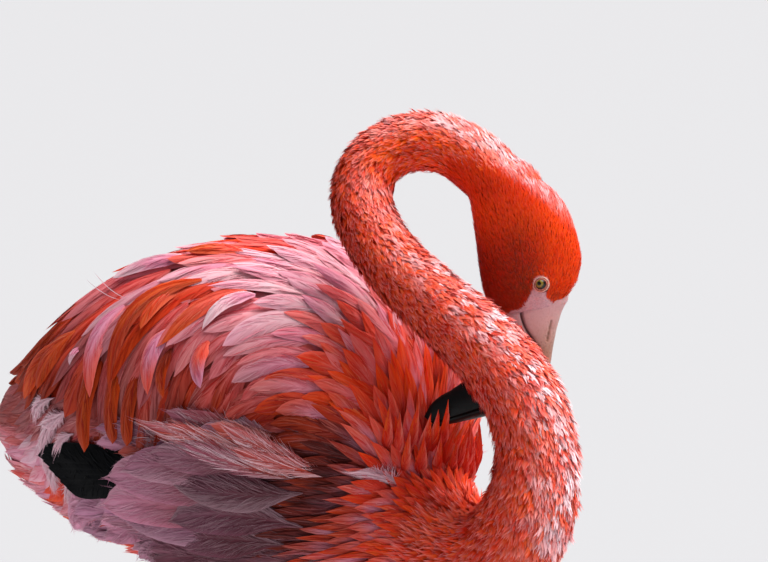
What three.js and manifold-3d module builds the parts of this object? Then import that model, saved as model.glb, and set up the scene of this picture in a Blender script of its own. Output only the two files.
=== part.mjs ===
// A life-size American flamingo standing on both feet and preening its breast.
// Millimetres, +Z up. The bird faces -Y, so its right side is -X; its webbed feet
// stand on z = 0. Every solid includes the feathers over it, out to their tips.
import * as THREE from "three";
import { mergeVertices } from "three/addons/utils/BufferGeometryUtils.js";
import Module from "manifold-3d";

const wasm = await Module();
wasm.setup();

// ---------------------------------------------------------------- driving sizes
const GAP = 0.3; // clearance between pieces that touch
const SIDES = [
  { name: "right", sign: -1 },
  { name: "left", sign: 1 },
];

// Trunk, by slices across it: [y, belly z, back z, half width].
const TRUNK_SLICES = [
  [-176, 640, 672, 0],
  [-170, 600, 712, 36],
  [-155, 584, 744, 60],
  [-122, 571, 776, 86],
  [-80, 563, 794, 101],
  [-30, 560, 799, 108],
  [25, 561, 793, 108],
  [80, 567, 776, 100],
  [135, 578, 744, 80],
  [180, 592, 712, 58],
  [220, 614, 688, 36],
  [232, 644, 664, 0],
];
const MIDDLE_Y = -13.6; // the middle of the whole bird's length, which goes to y = 0
const TRUNK_SHOULDER = 0.1; // how much wider a slice is above its middle than below
const TRUNK_RADIUS = 100; // its usual radius, which turns a clearance into an angle

// Folded wings: crescents that lie on the trunk's sides. Angles are above the level
// of the trunk's middle.
const WING = {
  front: -128,
  rear: 206,
  topDegrees: 80,
  bottomDegrees: -12,
  rise: 7, // the outer face stands this far out of the trunk
  depth: 13, // and the inner face lies this far inside it
  endPower: 0.75, // below 1 the ends are blunter than an ellipse's
  rearTaper: 0.25, // share by which it is narrower at the rear
  scallops: 5, // long feather tips along the rear edge
  scallopDepth: 5,
};
// Black flight feathers that show below each folded wing's rear edge.
const FLIGHT = {
  front: -24,
  rear: 115,
  frontZ: 647,
  rearZ: 641,
  halfHeight: 18,
  halfDepth: 4.5,
  out: 4, // their middle stands this far out of the trunk
  endPower: 0.6,
};
const TAIL = {
  front: 176,
  rear: 268,
  frontZ: 655,
  rearZ: 634,
  halfWidth: 46,
  rearHalfWidth: 36,
  thickness: 26,
  rearThickness: 5,
  droop: 0.004, // its edges hang by this times the distance from its middle, squared
  round: 0.006, // and end sooner by this times the same
};

// Neck: centreline points from the breast to the nape, each with its radius.
const NECK_POINTS = [
  [0, -124, 640, 54],
  [-2, -165, 615, 44],
  [-6, -204, 603, 35.5],
  [-8, -240, 608, 32],
  [-8, -262, 637, 30.5],
  [-6, -267, 677, 27],
  [-11, -257, 713, 26.5],
  [-22, -236, 741, 25],
  [-33, -210, 764, 23],
  [-42, -180, 788, 21.5],
  [-44, -155, 814, 20.8],
  [-37, -142, 838, 20.3],
  [-24, -147, 858.5, 19.5],
  [-6, -167, 867, 19.5],
  [9, -187, 860, 20.5],
  [20, -205, 843, 22],
];
// Its lengths, each with the share of the whole at which it ends.
const NECK_ROOT = 0.105;
const NECK_LENGTHS = [
  { name: "neck_base", end: 0.4 },
  { name: "neck_lower", end: 0.62 },
  { name: "neck_middle", end: 0.81 },
  { name: "neck_upper", end: 1 },
];
const NECK_RINGS = 40;

// Head and bill, in a vertical plane of their own. Its origin is midway between the
// eyes; u runs from throat to forehead, v is up, and w is the bird's right.
const HEAD_ORIGIN = new THREE.Vector3(38, -228, 777.5);
const HEAD_TURN = -45; // degrees about Z
// Slices from nape to face: [forehead u, forehead v, throat u, throat v, half width].
const HEAD_SLICES = [
  [-8, 79, -45, 52, 21.5],
  [4, 66, -43.5, 40, 22.5],
  [15, 51, -42, 27, 23.5],
  [24, 34, -40.5, 13, 23],
  [27.5, 18, -38.5, 0, 20.5],
  [26, 6, -35.5, -11, 18.5],
  [22.5, -3, -30, -20, 16],
  [17.5, -12, -22, -26, 13.5],
];
const HEAD_END_SHARE = 0.08; // share of its length in which each end rounds off
const HEAD_NAPE_CROWN = 4; // how far the nape's end bulges, and then the face's
const HEAD_FACE_CROWN = -2;
// Slices of the bill: [culmen u, v, gape u, v, gonys u, v, half width].
const BILL_SLICES = [
  [20.5, -8, -14, -15, -25, -19, 13],
  [14.5, -18, -10.5, -27, -26, -28, 12.5],
  [10.8, -30, -5, -35.5, -27.5, -38, 12],
  [8.4, -42, 0, -43, -30, -46, 11.5],
  [6, -55, -0.5, -51, -36, -54, 11],
  [-1, -69, -6, -61.5, -42, -59.5, 10.5],
  [-15, -80, -17, -71.5, -49, -64.5, 10],
  [-32, -86, -31, -78.5, -57, -70, 9],
  [-47, -89.5, -45, -83.5, -64, -74, 7.5],
  [-60, -92.5, -58, -87.5, -70, -79.5, 5.5],
  [-70, -95, -68.5, -91, -74, -87, 3],
];
const GAPE_GAP = 0.8;
const EYE = { radius: 6.2, fromMiddle: 14 };

// Legs: each joint's place down the leg, and the radii between them.
const STANCE = { halfWidth: 40, step: 9 }; // the right foot is a step ahead of the left
const HIP = { z: 596, y: 6, spread: 1.08, shift: 0.2 };
const KNEE = { z: 492, y: 10, spread: 1.02, shift: 0.5 };
const ANKLE = { z: 322, y: 20, reach: 22 };
const FOOT_TOP = { z: 15, y: 0 };
const THIGH_RADII = [34, 24.5, 9.5];
const SHANK_RADII = [6, 6, 6.3];
const TARSUS_RADII = [6.3, 10.5, 6.3, 5, 5.2, 5.8];
const HEEL_RADII = [7.5, 6.3, 5.8];
const TOES = [
  { name: "inner", degrees: 30, length: 64 },
  { name: "middle", degrees: 2, length: 82 },
  { name: "outer", degrees: -27, length: 70 },
];
const TOE = { radius: 5, tipRadius: 2.6, joints: 3, knuckle: 0.12 };
const WEB = { thickness: 2.4, tipShare: 0.9, edgeShare: 0.62 };
const HIND_TOE = { length: 15, radius: 2.6, z: 8, drop: 3.6, endPower: 0.6 };
const CLAW = { length: 7, radius: 2, taper: 0.72 };

// ---------------------------------------------------------------- materials
function finish(colour, roughness) {
  return new THREE.MeshStandardMaterial({ color: colour, roughness, metalness: 0 });
}
const materials = {
  plumage: finish(0xe8604a, 0.85),
  wing: finish(0xe07a70, 0.8),
  head: finish(0xe8431c, 0.85),
  flight: finish(0x14141a, 0.5),
  bill: finish(0xe8c0b0, 0.45),
  eye: finish(0xb0a040, 0.15),
  leg: finish(0xd98a8c, 0.6),
  claw: finish(0x2a2426, 0.4),
};

// ---------------------------------------------------------------- helpers
const { lerp, clamp, degToRad } = THREE.MathUtils;

// A smooth curve through rows of numbers whose first column is the parameter.
function throughRows(rows) {
  const keys = rows.map((row) => row[0]);
  const slope = (i, k) => {
    const before = Math.max(i - 1, 0);
    const after = Math.min(i + 1, rows.length - 1);
    return (rows[after][k] - rows[before][k]) / (keys[after] - keys[before]);
  };
  return (x) => {
    const at = clamp(x, keys[0], keys[keys.length - 1]);
    let i = 0;
    while (i < keys.length - 2 && at > keys[i + 1]) i += 1;
    const span = keys[i + 1] - keys[i];
    const s = (at - keys[i]) / span;
    const blend = s * s * (3 - 2 * s);
    return rows[i].slice(1).map((value, column) => {
      const k = column + 1;
      const leave = s * (1 - s) * (1 - s) * span * slope(i, k);
      const arrive = s * s * (s - 1) * span * slope(i + 1, k);
      return lerp(value, rows[i + 1][k], blend) + leave + arrive;
    });
  };
}

// The same, for rows at equal steps of a parameter from 0 to 1.
function throughSteps(rows) {
  return throughRows(rows.map((row, i) => [i / (rows.length - 1), ...row]));
}

function manifoldOf(corners, triangles) {
  const triVerts = new Uint32Array(triangles);
  return new wasm.Manifold(new wasm.Mesh({ numProp: 3, vertProperties: corners, triVerts }));
}

// A closed solid from a geometry whose vertices are moved by place(vertex).
function solidOf(geometry, place) {
  const bare = geometry.index ? geometry.toNonIndexed() : geometry.clone();
  bare.deleteAttribute("normal");
  bare.deleteAttribute("uv");
  const position = bare.getAttribute("position");
  const vertex = new THREE.Vector3();
  for (let i = 0; i < position.count; i += 1) {
    const moved = place(vertex.fromBufferAttribute(position, i));
    position.setXYZ(i, moved.x, moved.y, moved.z);
  }
  const merged = mergeVertices(bare, 1e-3);
  const corners = merged.getAttribute("position").array;
  const triangles = Array.from(merged.index.array);
  const solid = manifoldOf(corners, triangles);
  if (solid.volume() > 0) return solid;
  for (let i = 0; i < triangles.length; i += 3) {
    [triangles[i + 1], triangles[i + 2]] = [triangles[i + 2], triangles[i + 1]];
  }
  return manifoldOf(corners, triangles);
}

// A ball-like solid: surface(t, angle) for t from 0 to 1 along it, angle round it.
function ballSolid(around, along, surface) {
  return solidOf(new THREE.SphereGeometry(1, around, along), (v) => {
    const atPole = Math.hypot(v.x, v.z) < 1e-6;
    return surface(Math.acos(clamp(v.y, -1, 1)) / Math.PI, atPole ? 0 : Math.atan2(v.z, v.x));
  });
}

// A tube with flat ends: surface(t, angle, share), share 0 on its axis and 1 outside.
function tubeSolid(around, along, surface) {
  return solidOf(new THREE.CylinderGeometry(1, 1, 1, around, along), (v) => {
    const onAxis = Math.hypot(v.x, v.z) < 1e-6;
    return surface(v.y + 0.5, onAxis ? 0 : Math.atan2(v.z, v.x), onAxis ? 0 : 1);
  });
}

// A round tube through points, with radii at equal steps along it. Its section is
// turned so that its first axis lies across the way that facing looks.
function roundTube(points, radii, facing, around, along) {
  const curve = new THREE.CatmullRomCurve3(points, false, "centripetal");
  const radiusAt = throughSteps(radii.map((radius) => [radius]));
  return tubeSolid(around, along, (t, angle, share) => {
    const tangent = curve.getTangent(t);
    const side = new THREE.Vector3().crossVectors(tangent, facing).normalize();
    const over = new THREE.Vector3().crossVectors(side, tangent);
    const size = share * radiusAt(t)[0];
    const centre = curve.getPoint(t).addScaledVector(side, Math.cos(angle) * size);
    return centre.addScaledVector(over, Math.sin(angle) * size);
  });
}

// Crowds equal steps from 0 to 1 towards both ends.
function eased(t) {
  return (1 - Math.cos(Math.PI * t)) / 2;
}

// A solid made larger about its own middle, by at least GAP where it is thinnest.
function grown(solid, thinnestHalf) {
  const { min, max } = solid.boundingBox();
  const middle = min.map((low, k) => (low + max[k]) / 2);
  const back = middle.map((value) => -value);
  return solid.translate(back).scale(1 + GAP / thinnestHalf).translate(middle);
}

const flamingo = new THREE.Group();
function addMesh(name, solid, material) {
  const { vertProperties, triVerts } = solid.getMesh();
  const geometry = new THREE.BufferGeometry();
  geometry.setAttribute("position", new THREE.BufferAttribute(vertProperties, 3));
  geometry.setIndex(new THREE.BufferAttribute(triVerts, 1));
  geometry.computeVertexNormals();
  const mesh = new THREE.Mesh(geometry, material);
  mesh.name = name;
  flamingo.add(mesh);
}

// ---------------------------------------------------------------- trunk
const trunkSlice = throughRows(TRUNK_SLICES);

// A point on the trunk's slice at y, at an angle from level, moved out by some mm.
function onTrunk(y, angle, out = 0) {
  const [belly, back, halfWidth] = trunkSlice(y);
  const sin = Math.sin(angle);
  const width = halfWidth * (1 + TRUNK_SHOULDER * sin);
  const height = (back - belly) / 2;
  return new THREE.Vector3(Math.cos(angle) * (width + out), y, (belly + back) / 2 + sin * (height + out));
}

function trunkSolid() {
  const first = TRUNK_SLICES[0][0];
  const last = TRUNK_SLICES[TRUNK_SLICES.length - 1][0];
  return ballSolid(24, 20, (t, angle) => {
    const point = onTrunk(lerp(first, last, eased(t)), angle);
    if (t < 1e-6 || t > 1 - 1e-6) point.setZ(onTrunk(point.y, 0).z);
    return point;
  });
}

// ---------------------------------------------------------------- wings
function wingSolid(sign, grow = 0) {
  const middle = degToRad((WING.topDegrees + WING.bottomDegrees) / 2);
  const reach = degToRad((WING.topDegrees - WING.bottomDegrees) / 2) + grow / TRUNK_RADIUS;
  const halfThick = (WING.rise + WING.depth) / 2 + grow;
  const centre = (WING.rise - WING.depth) / 2;
  return ballSolid(20, 14, (t, turn) => {
    const swell = Math.sin(Math.PI * t);
    const round = swell ** WING.endPower;
    const across = Math.cos(turn);
    const angle = middle + across * reach * round * (1 - WING.rearTaper * t);
    const wave = 0.5 - 0.5 * Math.cos(Math.PI * WING.scallops * (across + 1));
    const notch = WING.scallopDepth * wave * t * t * swell;
    const y = lerp(WING.front - grow, WING.rear + grow, eased(t)) - notch;
    const point = onTrunk(y, angle, centre + Math.sin(turn) * halfThick * round);
    return point.setX(sign * point.x);
  });
}

function flightSolid(sign, grow = 0) {
  return ballSolid(12, 10, (t, turn) => {
    const y = lerp(FLIGHT.front - grow, FLIGHT.rear + grow, eased(t));
    const z = lerp(FLIGHT.frontZ, FLIGHT.rearZ, eased(t));
    const round = Math.sin(Math.PI * t) ** FLIGHT.endPower;
    const rise = Math.sin(turn) * (FLIGHT.halfHeight + grow) * round;
    const [belly, back] = trunkSlice(y);
    const level = (z + rise / 2 - (belly + back) / 2) / ((back - belly) / 2);
    const surface = onTrunk(y, Math.asin(clamp(level, -1, 1)), FLIGHT.out);
    const out = Math.cos(turn) * (FLIGHT.halfDepth + grow) * round;
    return new THREE.Vector3(sign * (surface.x + out), y, z + rise);
  });
}

// ---------------------------------------------------------------- tail
// A rounded box of a section: each power below 1 makes it squarer.
function tailSolid() {
  const squarer = (value, power) => Math.sign(value) * Math.abs(value) ** power;
  return tubeSolid(16, 5, (t, angle, share) => {
    const halfWidth = lerp(TAIL.halfWidth, TAIL.rearHalfWidth, t);
    const halfThick = lerp(TAIL.thickness, TAIL.rearThickness, Math.sqrt(t)) / 2;
    const x = share * squarer(Math.cos(angle), 0.7) * halfWidth;
    const rise = share * squarer(Math.sin(angle), 0.8) * halfThick;
    const y = lerp(TAIL.front, TAIL.rear, t) - t * TAIL.round * x * x;
    return new THREE.Vector3(x, y, lerp(TAIL.frontZ, TAIL.rearZ, t) + rise - TAIL.droop * x * x);
  });
}

// ---------------------------------------------------------------- neck
const neckCurve = new THREE.CatmullRomCurve3(
  NECK_POINTS.map(([x, y, z]) => new THREE.Vector3(x, y, z)),
  false,
  "centripetal",
);
const neckRadius = throughSteps(NECK_POINTS.map((row) => [row[3]]));
const headSide = new THREE.Vector3(-1, -1, 0).normalize();

function neckSolid(from, to) {
  const rings = Math.max(6, Math.round((to - from) * NECK_RINGS));
  return tubeSolid(16, rings, (t, angle, share) => {
    const at = lerp(from, to, t);
    const tangent = neckCurve.getTangent(at);
    const side = headSide.clone().addScaledVector(tangent, -headSide.dot(tangent)).normalize();
    const over = new THREE.Vector3().crossVectors(tangent, side);
    const radius = share * neckRadius(at)[0];
    const point = neckCurve.getPoint(at).addScaledVector(side, Math.cos(angle) * radius);
    return point.addScaledVector(over, Math.sin(angle) * radius);
  });
}

// ---------------------------------------------------------------- head and bill
const headFrame = new THREE.Matrix4()
  .makeRotationZ(degToRad(HEAD_TURN))
  .setPosition(HEAD_ORIGIN);
function inHead(u, v, w) {
  return new THREE.Vector3(u, -w, v).applyMatrix4(headFrame);
}

const headSlice = throughSteps(HEAD_SLICES);
function headSolid() {
  const end = HEAD_END_SHARE;
  return ballSolid(18, 15, (t, angle) => {
    const [uOut, vOut, uIn, vIn, halfWidth] = headSlice(clamp((t - end) / (1 - 2 * end), 0, 1));
    const fromEnd = Math.max(0, Math.min(t, 1 - t));
    const open = Math.sqrt(Math.min(1, fromEnd / end));
    const crown = t < 0.5 ? HEAD_NAPE_CROWN : HEAD_FACE_CROWN;
    const across = (Math.cos(angle) * open) / 2;
    const u = (uOut + uIn) / 2 + (uOut - uIn) * across;
    const v = (vOut + vIn) / 2 + (vOut - vIn) * across + crown * Math.max(0, 1 - fromEnd / end);
    return inHead(u, v, Math.sin(angle) * halfWidth * open);
  });
}

const billSlice = throughSteps(BILL_SLICES);
// One half of the bill: from the gape line to the culmen above or the gonys below.
function billHalf(upper) {
  return tubeSolid(12, 11, (t, angle, share) => {
    const [culmenU, culmenV, gapeU, gapeV, gonysU, gonysV, halfWidth] = billSlice(t);
    const [edgeU, edgeV] = upper ? [culmenU, culmenV] : [gonysU, gonysV];
    const gap = GAPE_GAP / 2 / Math.hypot(edgeU - gapeU, edgeV - gapeV);
    const rise = lerp(gap, 1, Math.max(0, Math.sin(angle)) * share);
    return inHead(lerp(gapeU, edgeU, rise), lerp(gapeV, edgeV, rise), Math.cos(angle) * share * halfWidth);
  });
}

function eyeSolid(sign, grow = 0) {
  const centre = inHead(0, 0, -sign * EYE.fromMiddle);
  return solidOf(new THREE.SphereGeometry(EYE.radius + grow, 12, 8), (v) => v.add(centre));
}

// ---------------------------------------------------------------- legs
const ahead = new THREE.Vector3(0, -1, 0);

function legPlaces(sign) {
  const x = sign * STANCE.halfWidth;
  const step = sign * STANCE.step;
  return {
    hip: new THREE.Vector3(x * HIP.spread, HIP.y + step * HIP.shift, HIP.z),
    knee: new THREE.Vector3(x * KNEE.spread, KNEE.y + step * KNEE.shift, KNEE.z),
    ankle: new THREE.Vector3(x, ANKLE.y + step, ANKLE.z),
    foot: new THREE.Vector3(x, FOOT_TOP.y + step, FOOT_TOP.z),
  };
}

function stepTowards(from, to, distance) {
  return from.clone().addScaledVector(to.clone().sub(from).normalize(), distance);
}

function thighSolid(sign) {
  const { hip, knee } = legPlaces(sign);
  return roundTube([hip, hip.clone().lerp(knee, 0.5), knee], THIGH_RADII, ahead, 14, 6);
}

function shankSolid(sign) {
  const { knee, ankle } = legPlaces(sign);
  const top = stepTowards(knee, ankle, GAP);
  const bottom = stepTowards(ankle, knee, ANKLE.reach + GAP);
  return roundTube([top, top.clone().lerp(bottom, 0.5), bottom], SHANK_RADII, ahead, 10, 3);
}

function tarsusSolid(sign) {
  const { knee, ankle, foot } = legPlaces(sign);
  const above = stepTowards(ankle, knee, ANKLE.reach);
  const below = stepTowards(ankle, foot, ANKLE.reach);
  const upright = foot.clone().setZ(foot.z + ANKLE.reach);
  const places = [above, ankle, below, ankle.clone().lerp(foot, 0.5), upright, foot];
  return roundTube(places, TARSUS_RADII, ahead, 10, 14);
}

// Toes lie along the floor from the foot's root; whatever is below z = 0 is flattened.
function toeDirection(sign, degrees) {
  const angle = -sign * degToRad(degrees);
  return new THREE.Vector3(Math.sin(angle), -Math.cos(angle), 0);
}

function toeSolid(root, direction, toe) {
  const across = new THREE.Vector3(-direction.y, direction.x, 0);
  return tubeSolid(6, 6, (t, angle, share) => {
    const plain = lerp(TOE.radius, TOE.tipRadius, t);
    const size = plain * (1 + TOE.knuckle * Math.cos(2 * Math.PI * TOE.joints * t)) * share;
    const point = root.clone().addScaledVector(direction, toe.length * t);
    point.addScaledVector(across, Math.cos(angle) * size);
    return point.setZ(Math.max(0, plain * 0.8 + Math.sin(angle) * size));
  });
}

function webSolid(sign, root) {
  const shape = new THREE.Shape();
  shape.moveTo(0, TOE.radius);
  TOES.forEach((toe, i) => {
    const tip = toeDirection(sign, toe.degrees).multiplyScalar(toe.length * WEB.tipShare);
    if (i === 0) {
      shape.lineTo(tip.x, tip.y);
      return;
    }
    const before = TOES[i - 1];
    const reach = ((toe.length + before.length) / 2) * WEB.edgeShare;
    const dip = toeDirection(sign, (toe.degrees + before.degrees) / 2).multiplyScalar(reach);
    shape.quadraticCurveTo(dip.x, dip.y, tip.x, tip.y);
  });
  shape.closePath();
  const flat = { depth: WEB.thickness, bevelEnabled: false, curveSegments: 5 };
  return solidOf(new THREE.ExtrudeGeometry(shape, flat), (v) => v.add(root));
}

function hindToeSolid(root) {
  return ballSolid(8, 6, (t, angle) => {
    const size = Math.sin(Math.PI * t) ** HIND_TOE.endPower * HIND_TOE.radius;
    const offset = new THREE.Vector3(Math.cos(angle) * size, HIND_TOE.length * t, Math.sin(angle) * size);
    return offset.setZ(offset.z + HIND_TOE.z - HIND_TOE.drop * t).add(root);
  });
}

function footSolid(sign) {
  const { foot } = legPlaces(sign);
  const root = foot.clone().setZ(0);
  const top = foot.z - GAP;
  const heel = [0, top / 2, top].map((z) => foot.clone().setZ(z));
  const pieces = TOES.map((toe) => toeSolid(root, toeDirection(sign, toe.degrees), toe));
  pieces.push(roundTube(heel, HEEL_RADII, ahead, 10, 3), hindToeSolid(root));
  return pieces.reduce((whole, piece) => whole.add(piece), webSolid(sign, root));
}

function clawSolid(sign, toe) {
  const root = legPlaces(sign).foot.setZ(0);
  const direction = toeDirection(sign, toe.degrees);
  const across = new THREE.Vector3(-direction.y, direction.x, 0);
  return tubeSolid(6, 2, (t, angle, share) => {
    const size = CLAW.radius * (1 - CLAW.taper * t);
    const point = root.clone().addScaledVector(direction, toe.length + GAP + CLAW.length * t);
    point.addScaledVector(across, Math.cos(angle) * size * share);
    return point.setZ(Math.max(0, size * (0.9 + Math.sin(angle) * share)));
  });
}

// ---------------------------------------------------------------- assembly
// Wings and flight feathers lie in hollows of the trunk that are GAP larger all round.
let trunk = trunkSolid();
const trunkHollow = grown(trunk, 80);
trunk = trunk.add(neckSolid(0, NECK_ROOT));
let tail = tailSolid().subtract(trunkHollow);
for (const { name, sign } of SIDES) {
  const wingHollow = wingSolid(sign, GAP);
  const flightHollow = flightSolid(sign, GAP);
  trunk = trunk.subtract(wingHollow).subtract(flightHollow);
  tail = tail.subtract(wingHollow).subtract(flightHollow);
  addMesh(`wing_${name}`, wingSolid(sign), materials.wing);
  addMesh(`flight_feathers_${name}`, flightSolid(sign).subtract(wingHollow), materials.flight);
}
addMesh("trunk", trunk, materials.plumage);
addMesh("tail", tail, materials.plumage);

let head = headSolid();
const headHollow = grown(head, 17);
let lengthStart = NECK_ROOT;
for (const { name, end } of NECK_LENGTHS) {
  const halfGap = GAP / 2 / neckCurve.getLength();
  let length = neckSolid(lengthStart + halfGap, end - halfGap);
  if (lengthStart === NECK_ROOT) length = length.subtract(trunkHollow);
  if (end === 1) length = length.subtract(headHollow);
  addMesh(name, length, materials.plumage);
  lengthStart = end;
}

for (const { name, sign } of SIDES) {
  head = head.subtract(eyeSolid(sign, GAP));
  addMesh(`eye_${name}`, eyeSolid(sign), materials.eye);
}
addMesh("head", head, materials.head);
addMesh("bill_upper", billHalf(true).subtract(headHollow), materials.bill);
addMesh("bill_lower", billHalf(false).subtract(headHollow), materials.bill);

for (const { name, sign } of SIDES) {
  addMesh(`thigh_${name}`, thighSolid(sign).subtract(trunkHollow), materials.plumage);
  addMesh(`shank_${name}`, shankSolid(sign), materials.leg);
  addMesh(`tarsus_${name}`, tarsusSolid(sign), materials.leg);
  addMesh(`foot_${name}`, footSolid(sign), materials.leg);
  for (const toe of TOES) addMesh(`claw_${name}_${toe.name}`, clawSolid(sign, toe), materials.claw);
}

flamingo.position.y = -MIDDLE_Y;
export default flamingo;
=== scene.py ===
"""A life-size American flamingo, standing and preening its breast: its looks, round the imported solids.

Lengths are millimetres until a mesh is made. The bird faces -Y, and its right side is -X.
"""
import math

import bmesh
import bpy
import numpy as np
from mathutils import Matrix, Vector
from mathutils.bvhtree import BVHTree


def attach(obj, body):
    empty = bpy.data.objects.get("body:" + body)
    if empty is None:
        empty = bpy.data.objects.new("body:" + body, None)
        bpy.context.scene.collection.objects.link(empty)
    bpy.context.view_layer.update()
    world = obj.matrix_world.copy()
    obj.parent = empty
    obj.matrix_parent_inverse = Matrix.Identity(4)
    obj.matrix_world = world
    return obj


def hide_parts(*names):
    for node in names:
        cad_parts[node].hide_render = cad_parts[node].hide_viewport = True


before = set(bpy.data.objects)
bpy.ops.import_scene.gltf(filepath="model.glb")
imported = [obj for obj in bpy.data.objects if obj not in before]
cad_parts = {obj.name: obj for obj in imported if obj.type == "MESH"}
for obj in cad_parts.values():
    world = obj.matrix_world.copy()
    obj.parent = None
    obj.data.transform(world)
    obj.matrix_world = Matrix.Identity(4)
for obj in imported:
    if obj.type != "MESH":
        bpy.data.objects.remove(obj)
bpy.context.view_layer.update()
MM = 0.001
CHUNK = 4000  # points handled at once, where each is compared with a whole table
rng = np.random.default_rng(11)

# ------------------------------------------------------------------ sizes and places
SHIFT_Y = 13.6  # the solids' own sizes are given 13.6 mm further forward than they stand
NECK = [  # centre line from breast to nape, and radius out to the tips of its feathers
    (0, -124, 640, 54), (-2, -165, 615, 44), (-6, -204, 603, 35.5), (-8, -240, 608, 32),
    (-8, -262, 637, 30.5), (-6, -267, 677, 27), (-11, -257, 713, 26.5), (-22, -236, 741, 25),
    (-33, -210, 764, 23), (-42, -180, 788, 21.5), (-44, -155, 814, 20.8), (-37, -142, 838, 20.3),
    (-24, -147, 858.5, 19.5), (-6, -167, 867, 19.5), (9, -187, 860, 20.5), (20, -205, 843, 22),
]
HEAD_ORIGIN = np.array([38, -228 + SHIFT_Y, 777.5])  # midway between the eyes
HEAD_AXES = np.array([  # u from throat to forehead, v up, w the bird's right
    [math.sqrt(0.5), -math.sqrt(0.5), 0], [0, 0, 1], [-math.sqrt(0.5), -math.sqrt(0.5), 0]])
HEAD_SLICES = [  # forehead u, v, throat u, v, half width, from nape to face
    (-8, 79, -45, 52, 21.5), (4, 66, -43.5, 40, 22.5), (15, 51, -42, 27, 23.5), (24, 34, -40.5, 13, 23),
    (27.5, 18, -38.5, 0, 20.5), (26, 6, -35.5, -11, 18.5), (22.5, -3, -30, -20, 16),
    (17.5, -12, -22, -26, 13.5),
]
BILL_SLICES = [  # culmen u, v, gape u, v, gonys u, v, half width, from base to tip
    (20.5, -8, -14, -15, -25, -19, 13), (14.5, -18, -10.5, -27, -26, -28, 12.5),
    (10.8, -30, -5, -35.5, -27.5, -38, 12), (8.4, -42, 0, -43, -30, -46, 11.5),
    (6, -55, -0.5, -51, -36, -54, 11), (-1, -69, -6, -61.5, -42, -59.5, 10.5),
    (-15, -80, -17, -71.5, -49, -64.5, 10), (-32, -86, -31, -78.5, -57, -70, 9),
    (-47, -89.5, -45, -83.5, -64, -74, 7.5), (-60, -92.5, -58, -87.5, -70, -79.5, 5.5),
    (-70, -95, -68.5, -91, -74, -87, 3),
]
EYE_RADIUS, EYE_OUT, EYE_OPENING = 6.2, 14.0, 3.25

# ------------------------------------------------------------------ colours (sRGB)
def rgb(r, g, b):
    """A colour as the shader takes it."""
    c = np.array([r, g, b], float) / 255
    return np.where(c <= 0.04045, c / 12.92, ((c + 0.055) / 1.055) ** 2.4)

ORANGE, RED, CORAL = rgb(252, 86, 12), rgb(216, 32, 12), rgb(247, 78, 42)
SALMON, LILAC, BLUSH = rgb(250, 114, 96), rgb(238, 162, 190), rgb(255, 222, 230)
RUST, SHADE_RED, FACE_PINK = rgb(208, 70, 8), rgb(142, 22, 14), rgb(214, 168, 176)
FIRE, BROWN, DEEP_RUST = rgb(255, 76, 6), rgb(132, 48, 14), rgb(150, 38, 10)
# MAROON serves mostly as painted shade below; DUSK, a dusky lilac, is partly a painted tint of bluish shade
MAROON, DUSK = rgb(84, 20, 20), rgb(190, 126, 160)

# ------------------------------------------------------------------ small helpers
def unit(v):
    """Vectors at length 1."""
    return v / np.maximum(np.linalg.norm(v, axis=-1, keepdims=True), 1e-9)

def ease(a, b, x):
    """0 at a and before, 1 at b and beyond, and smooth between."""
    t = np.clip((x - a) / (b - a), 0, 1)
    return t * t * (3 - 2 * t)

def mix(a, b, t):
    """From a to b by t, which holds one value for each vector or colour."""
    t = np.asarray(t)
    vectors = 3 in np.shape(a)[-1:] + np.shape(b)[-1:]
    return a + (b - a) * (t[..., None] if vectors and t.ndim else t)

def dot(a, b):
    """Products of vectors, kept as a last axis of one."""
    return (a * b).sum(-1, keepdims=True)

def lattice(i, seed):
    """Random values from 0 to 1 at whole numbers i, by hashing."""
    h = i[..., 0] * 374761393 + i[..., 1] * 668265263 + i[..., 2] * 2147483647 + seed * 1274126177
    h = h & 0xFFFFFFFF
    h = ((h ^ (h >> 13)) * 1274126177) & 0xFFFFFFFF
    return ((h ^ (h >> 16)) & 0xFFFF) / 65535.0

def noise(p, size, seed):
    """Smooth noise from 0 to 1 over points, with features of that size."""
    q = np.asarray(p, float) / size
    base = np.floor(q).astype(np.int64)
    f = q - base
    f = f * f * (3 - 2 * f)
    total = 0
    for corner in np.ndindex(2, 2, 2):
        c = np.array(corner)
        weight = np.prod(np.where(c, f, 1 - f), axis=-1)
        total = total + weight * lattice(base + c, seed)
    return total

def new_mesh(name, verts, tris, point=None, colour=None, uv=None):
    """An object from arrays, in millimetres, with its attributes and UV maps by vertex."""
    mesh = bpy.data.meshes.new(name)
    tris = np.ascontiguousarray(tris, np.int32)
    mesh.vertices.add(len(verts))
    mesh.vertices.foreach_set("co", (np.asarray(verts, np.float32) * MM).ravel())
    mesh.loops.add(tris.size)
    mesh.loops.foreach_set("vertex_index", tris.ravel())
    mesh.polygons.add(len(tris))
    mesh.polygons.foreach_set("loop_start", np.arange(0, tris.size, 3, dtype=np.int32))
    mesh.polygons.foreach_set("use_smooth", np.ones(len(tris), bool))
    mesh.update(calc_edges=True)
    for key, values in (point or {}).items():
        layer = mesh.attributes.new(key, "FLOAT", "POINT")
        layer.data.foreach_set("value", np.asarray(values, np.float32).ravel())
    for key, values in (colour or {}).items():
        rgba = np.ones((len(verts), 4), np.float32)
        rgba[:, :3] = values
        mesh.attributes.new(key, "FLOAT_COLOR", "POINT").data.foreach_set("color", rgba.ravel())
    for key, values in (uv or {}).items():
        layer = mesh.uv_layers.new(name=key)
        layer.data.foreach_set("uv", np.asarray(values, np.float32)[tris.ravel()].ravel())
    obj = bpy.data.objects.new(name, mesh)
    bpy.context.scene.collection.objects.link(obj)
    return obj

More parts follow.
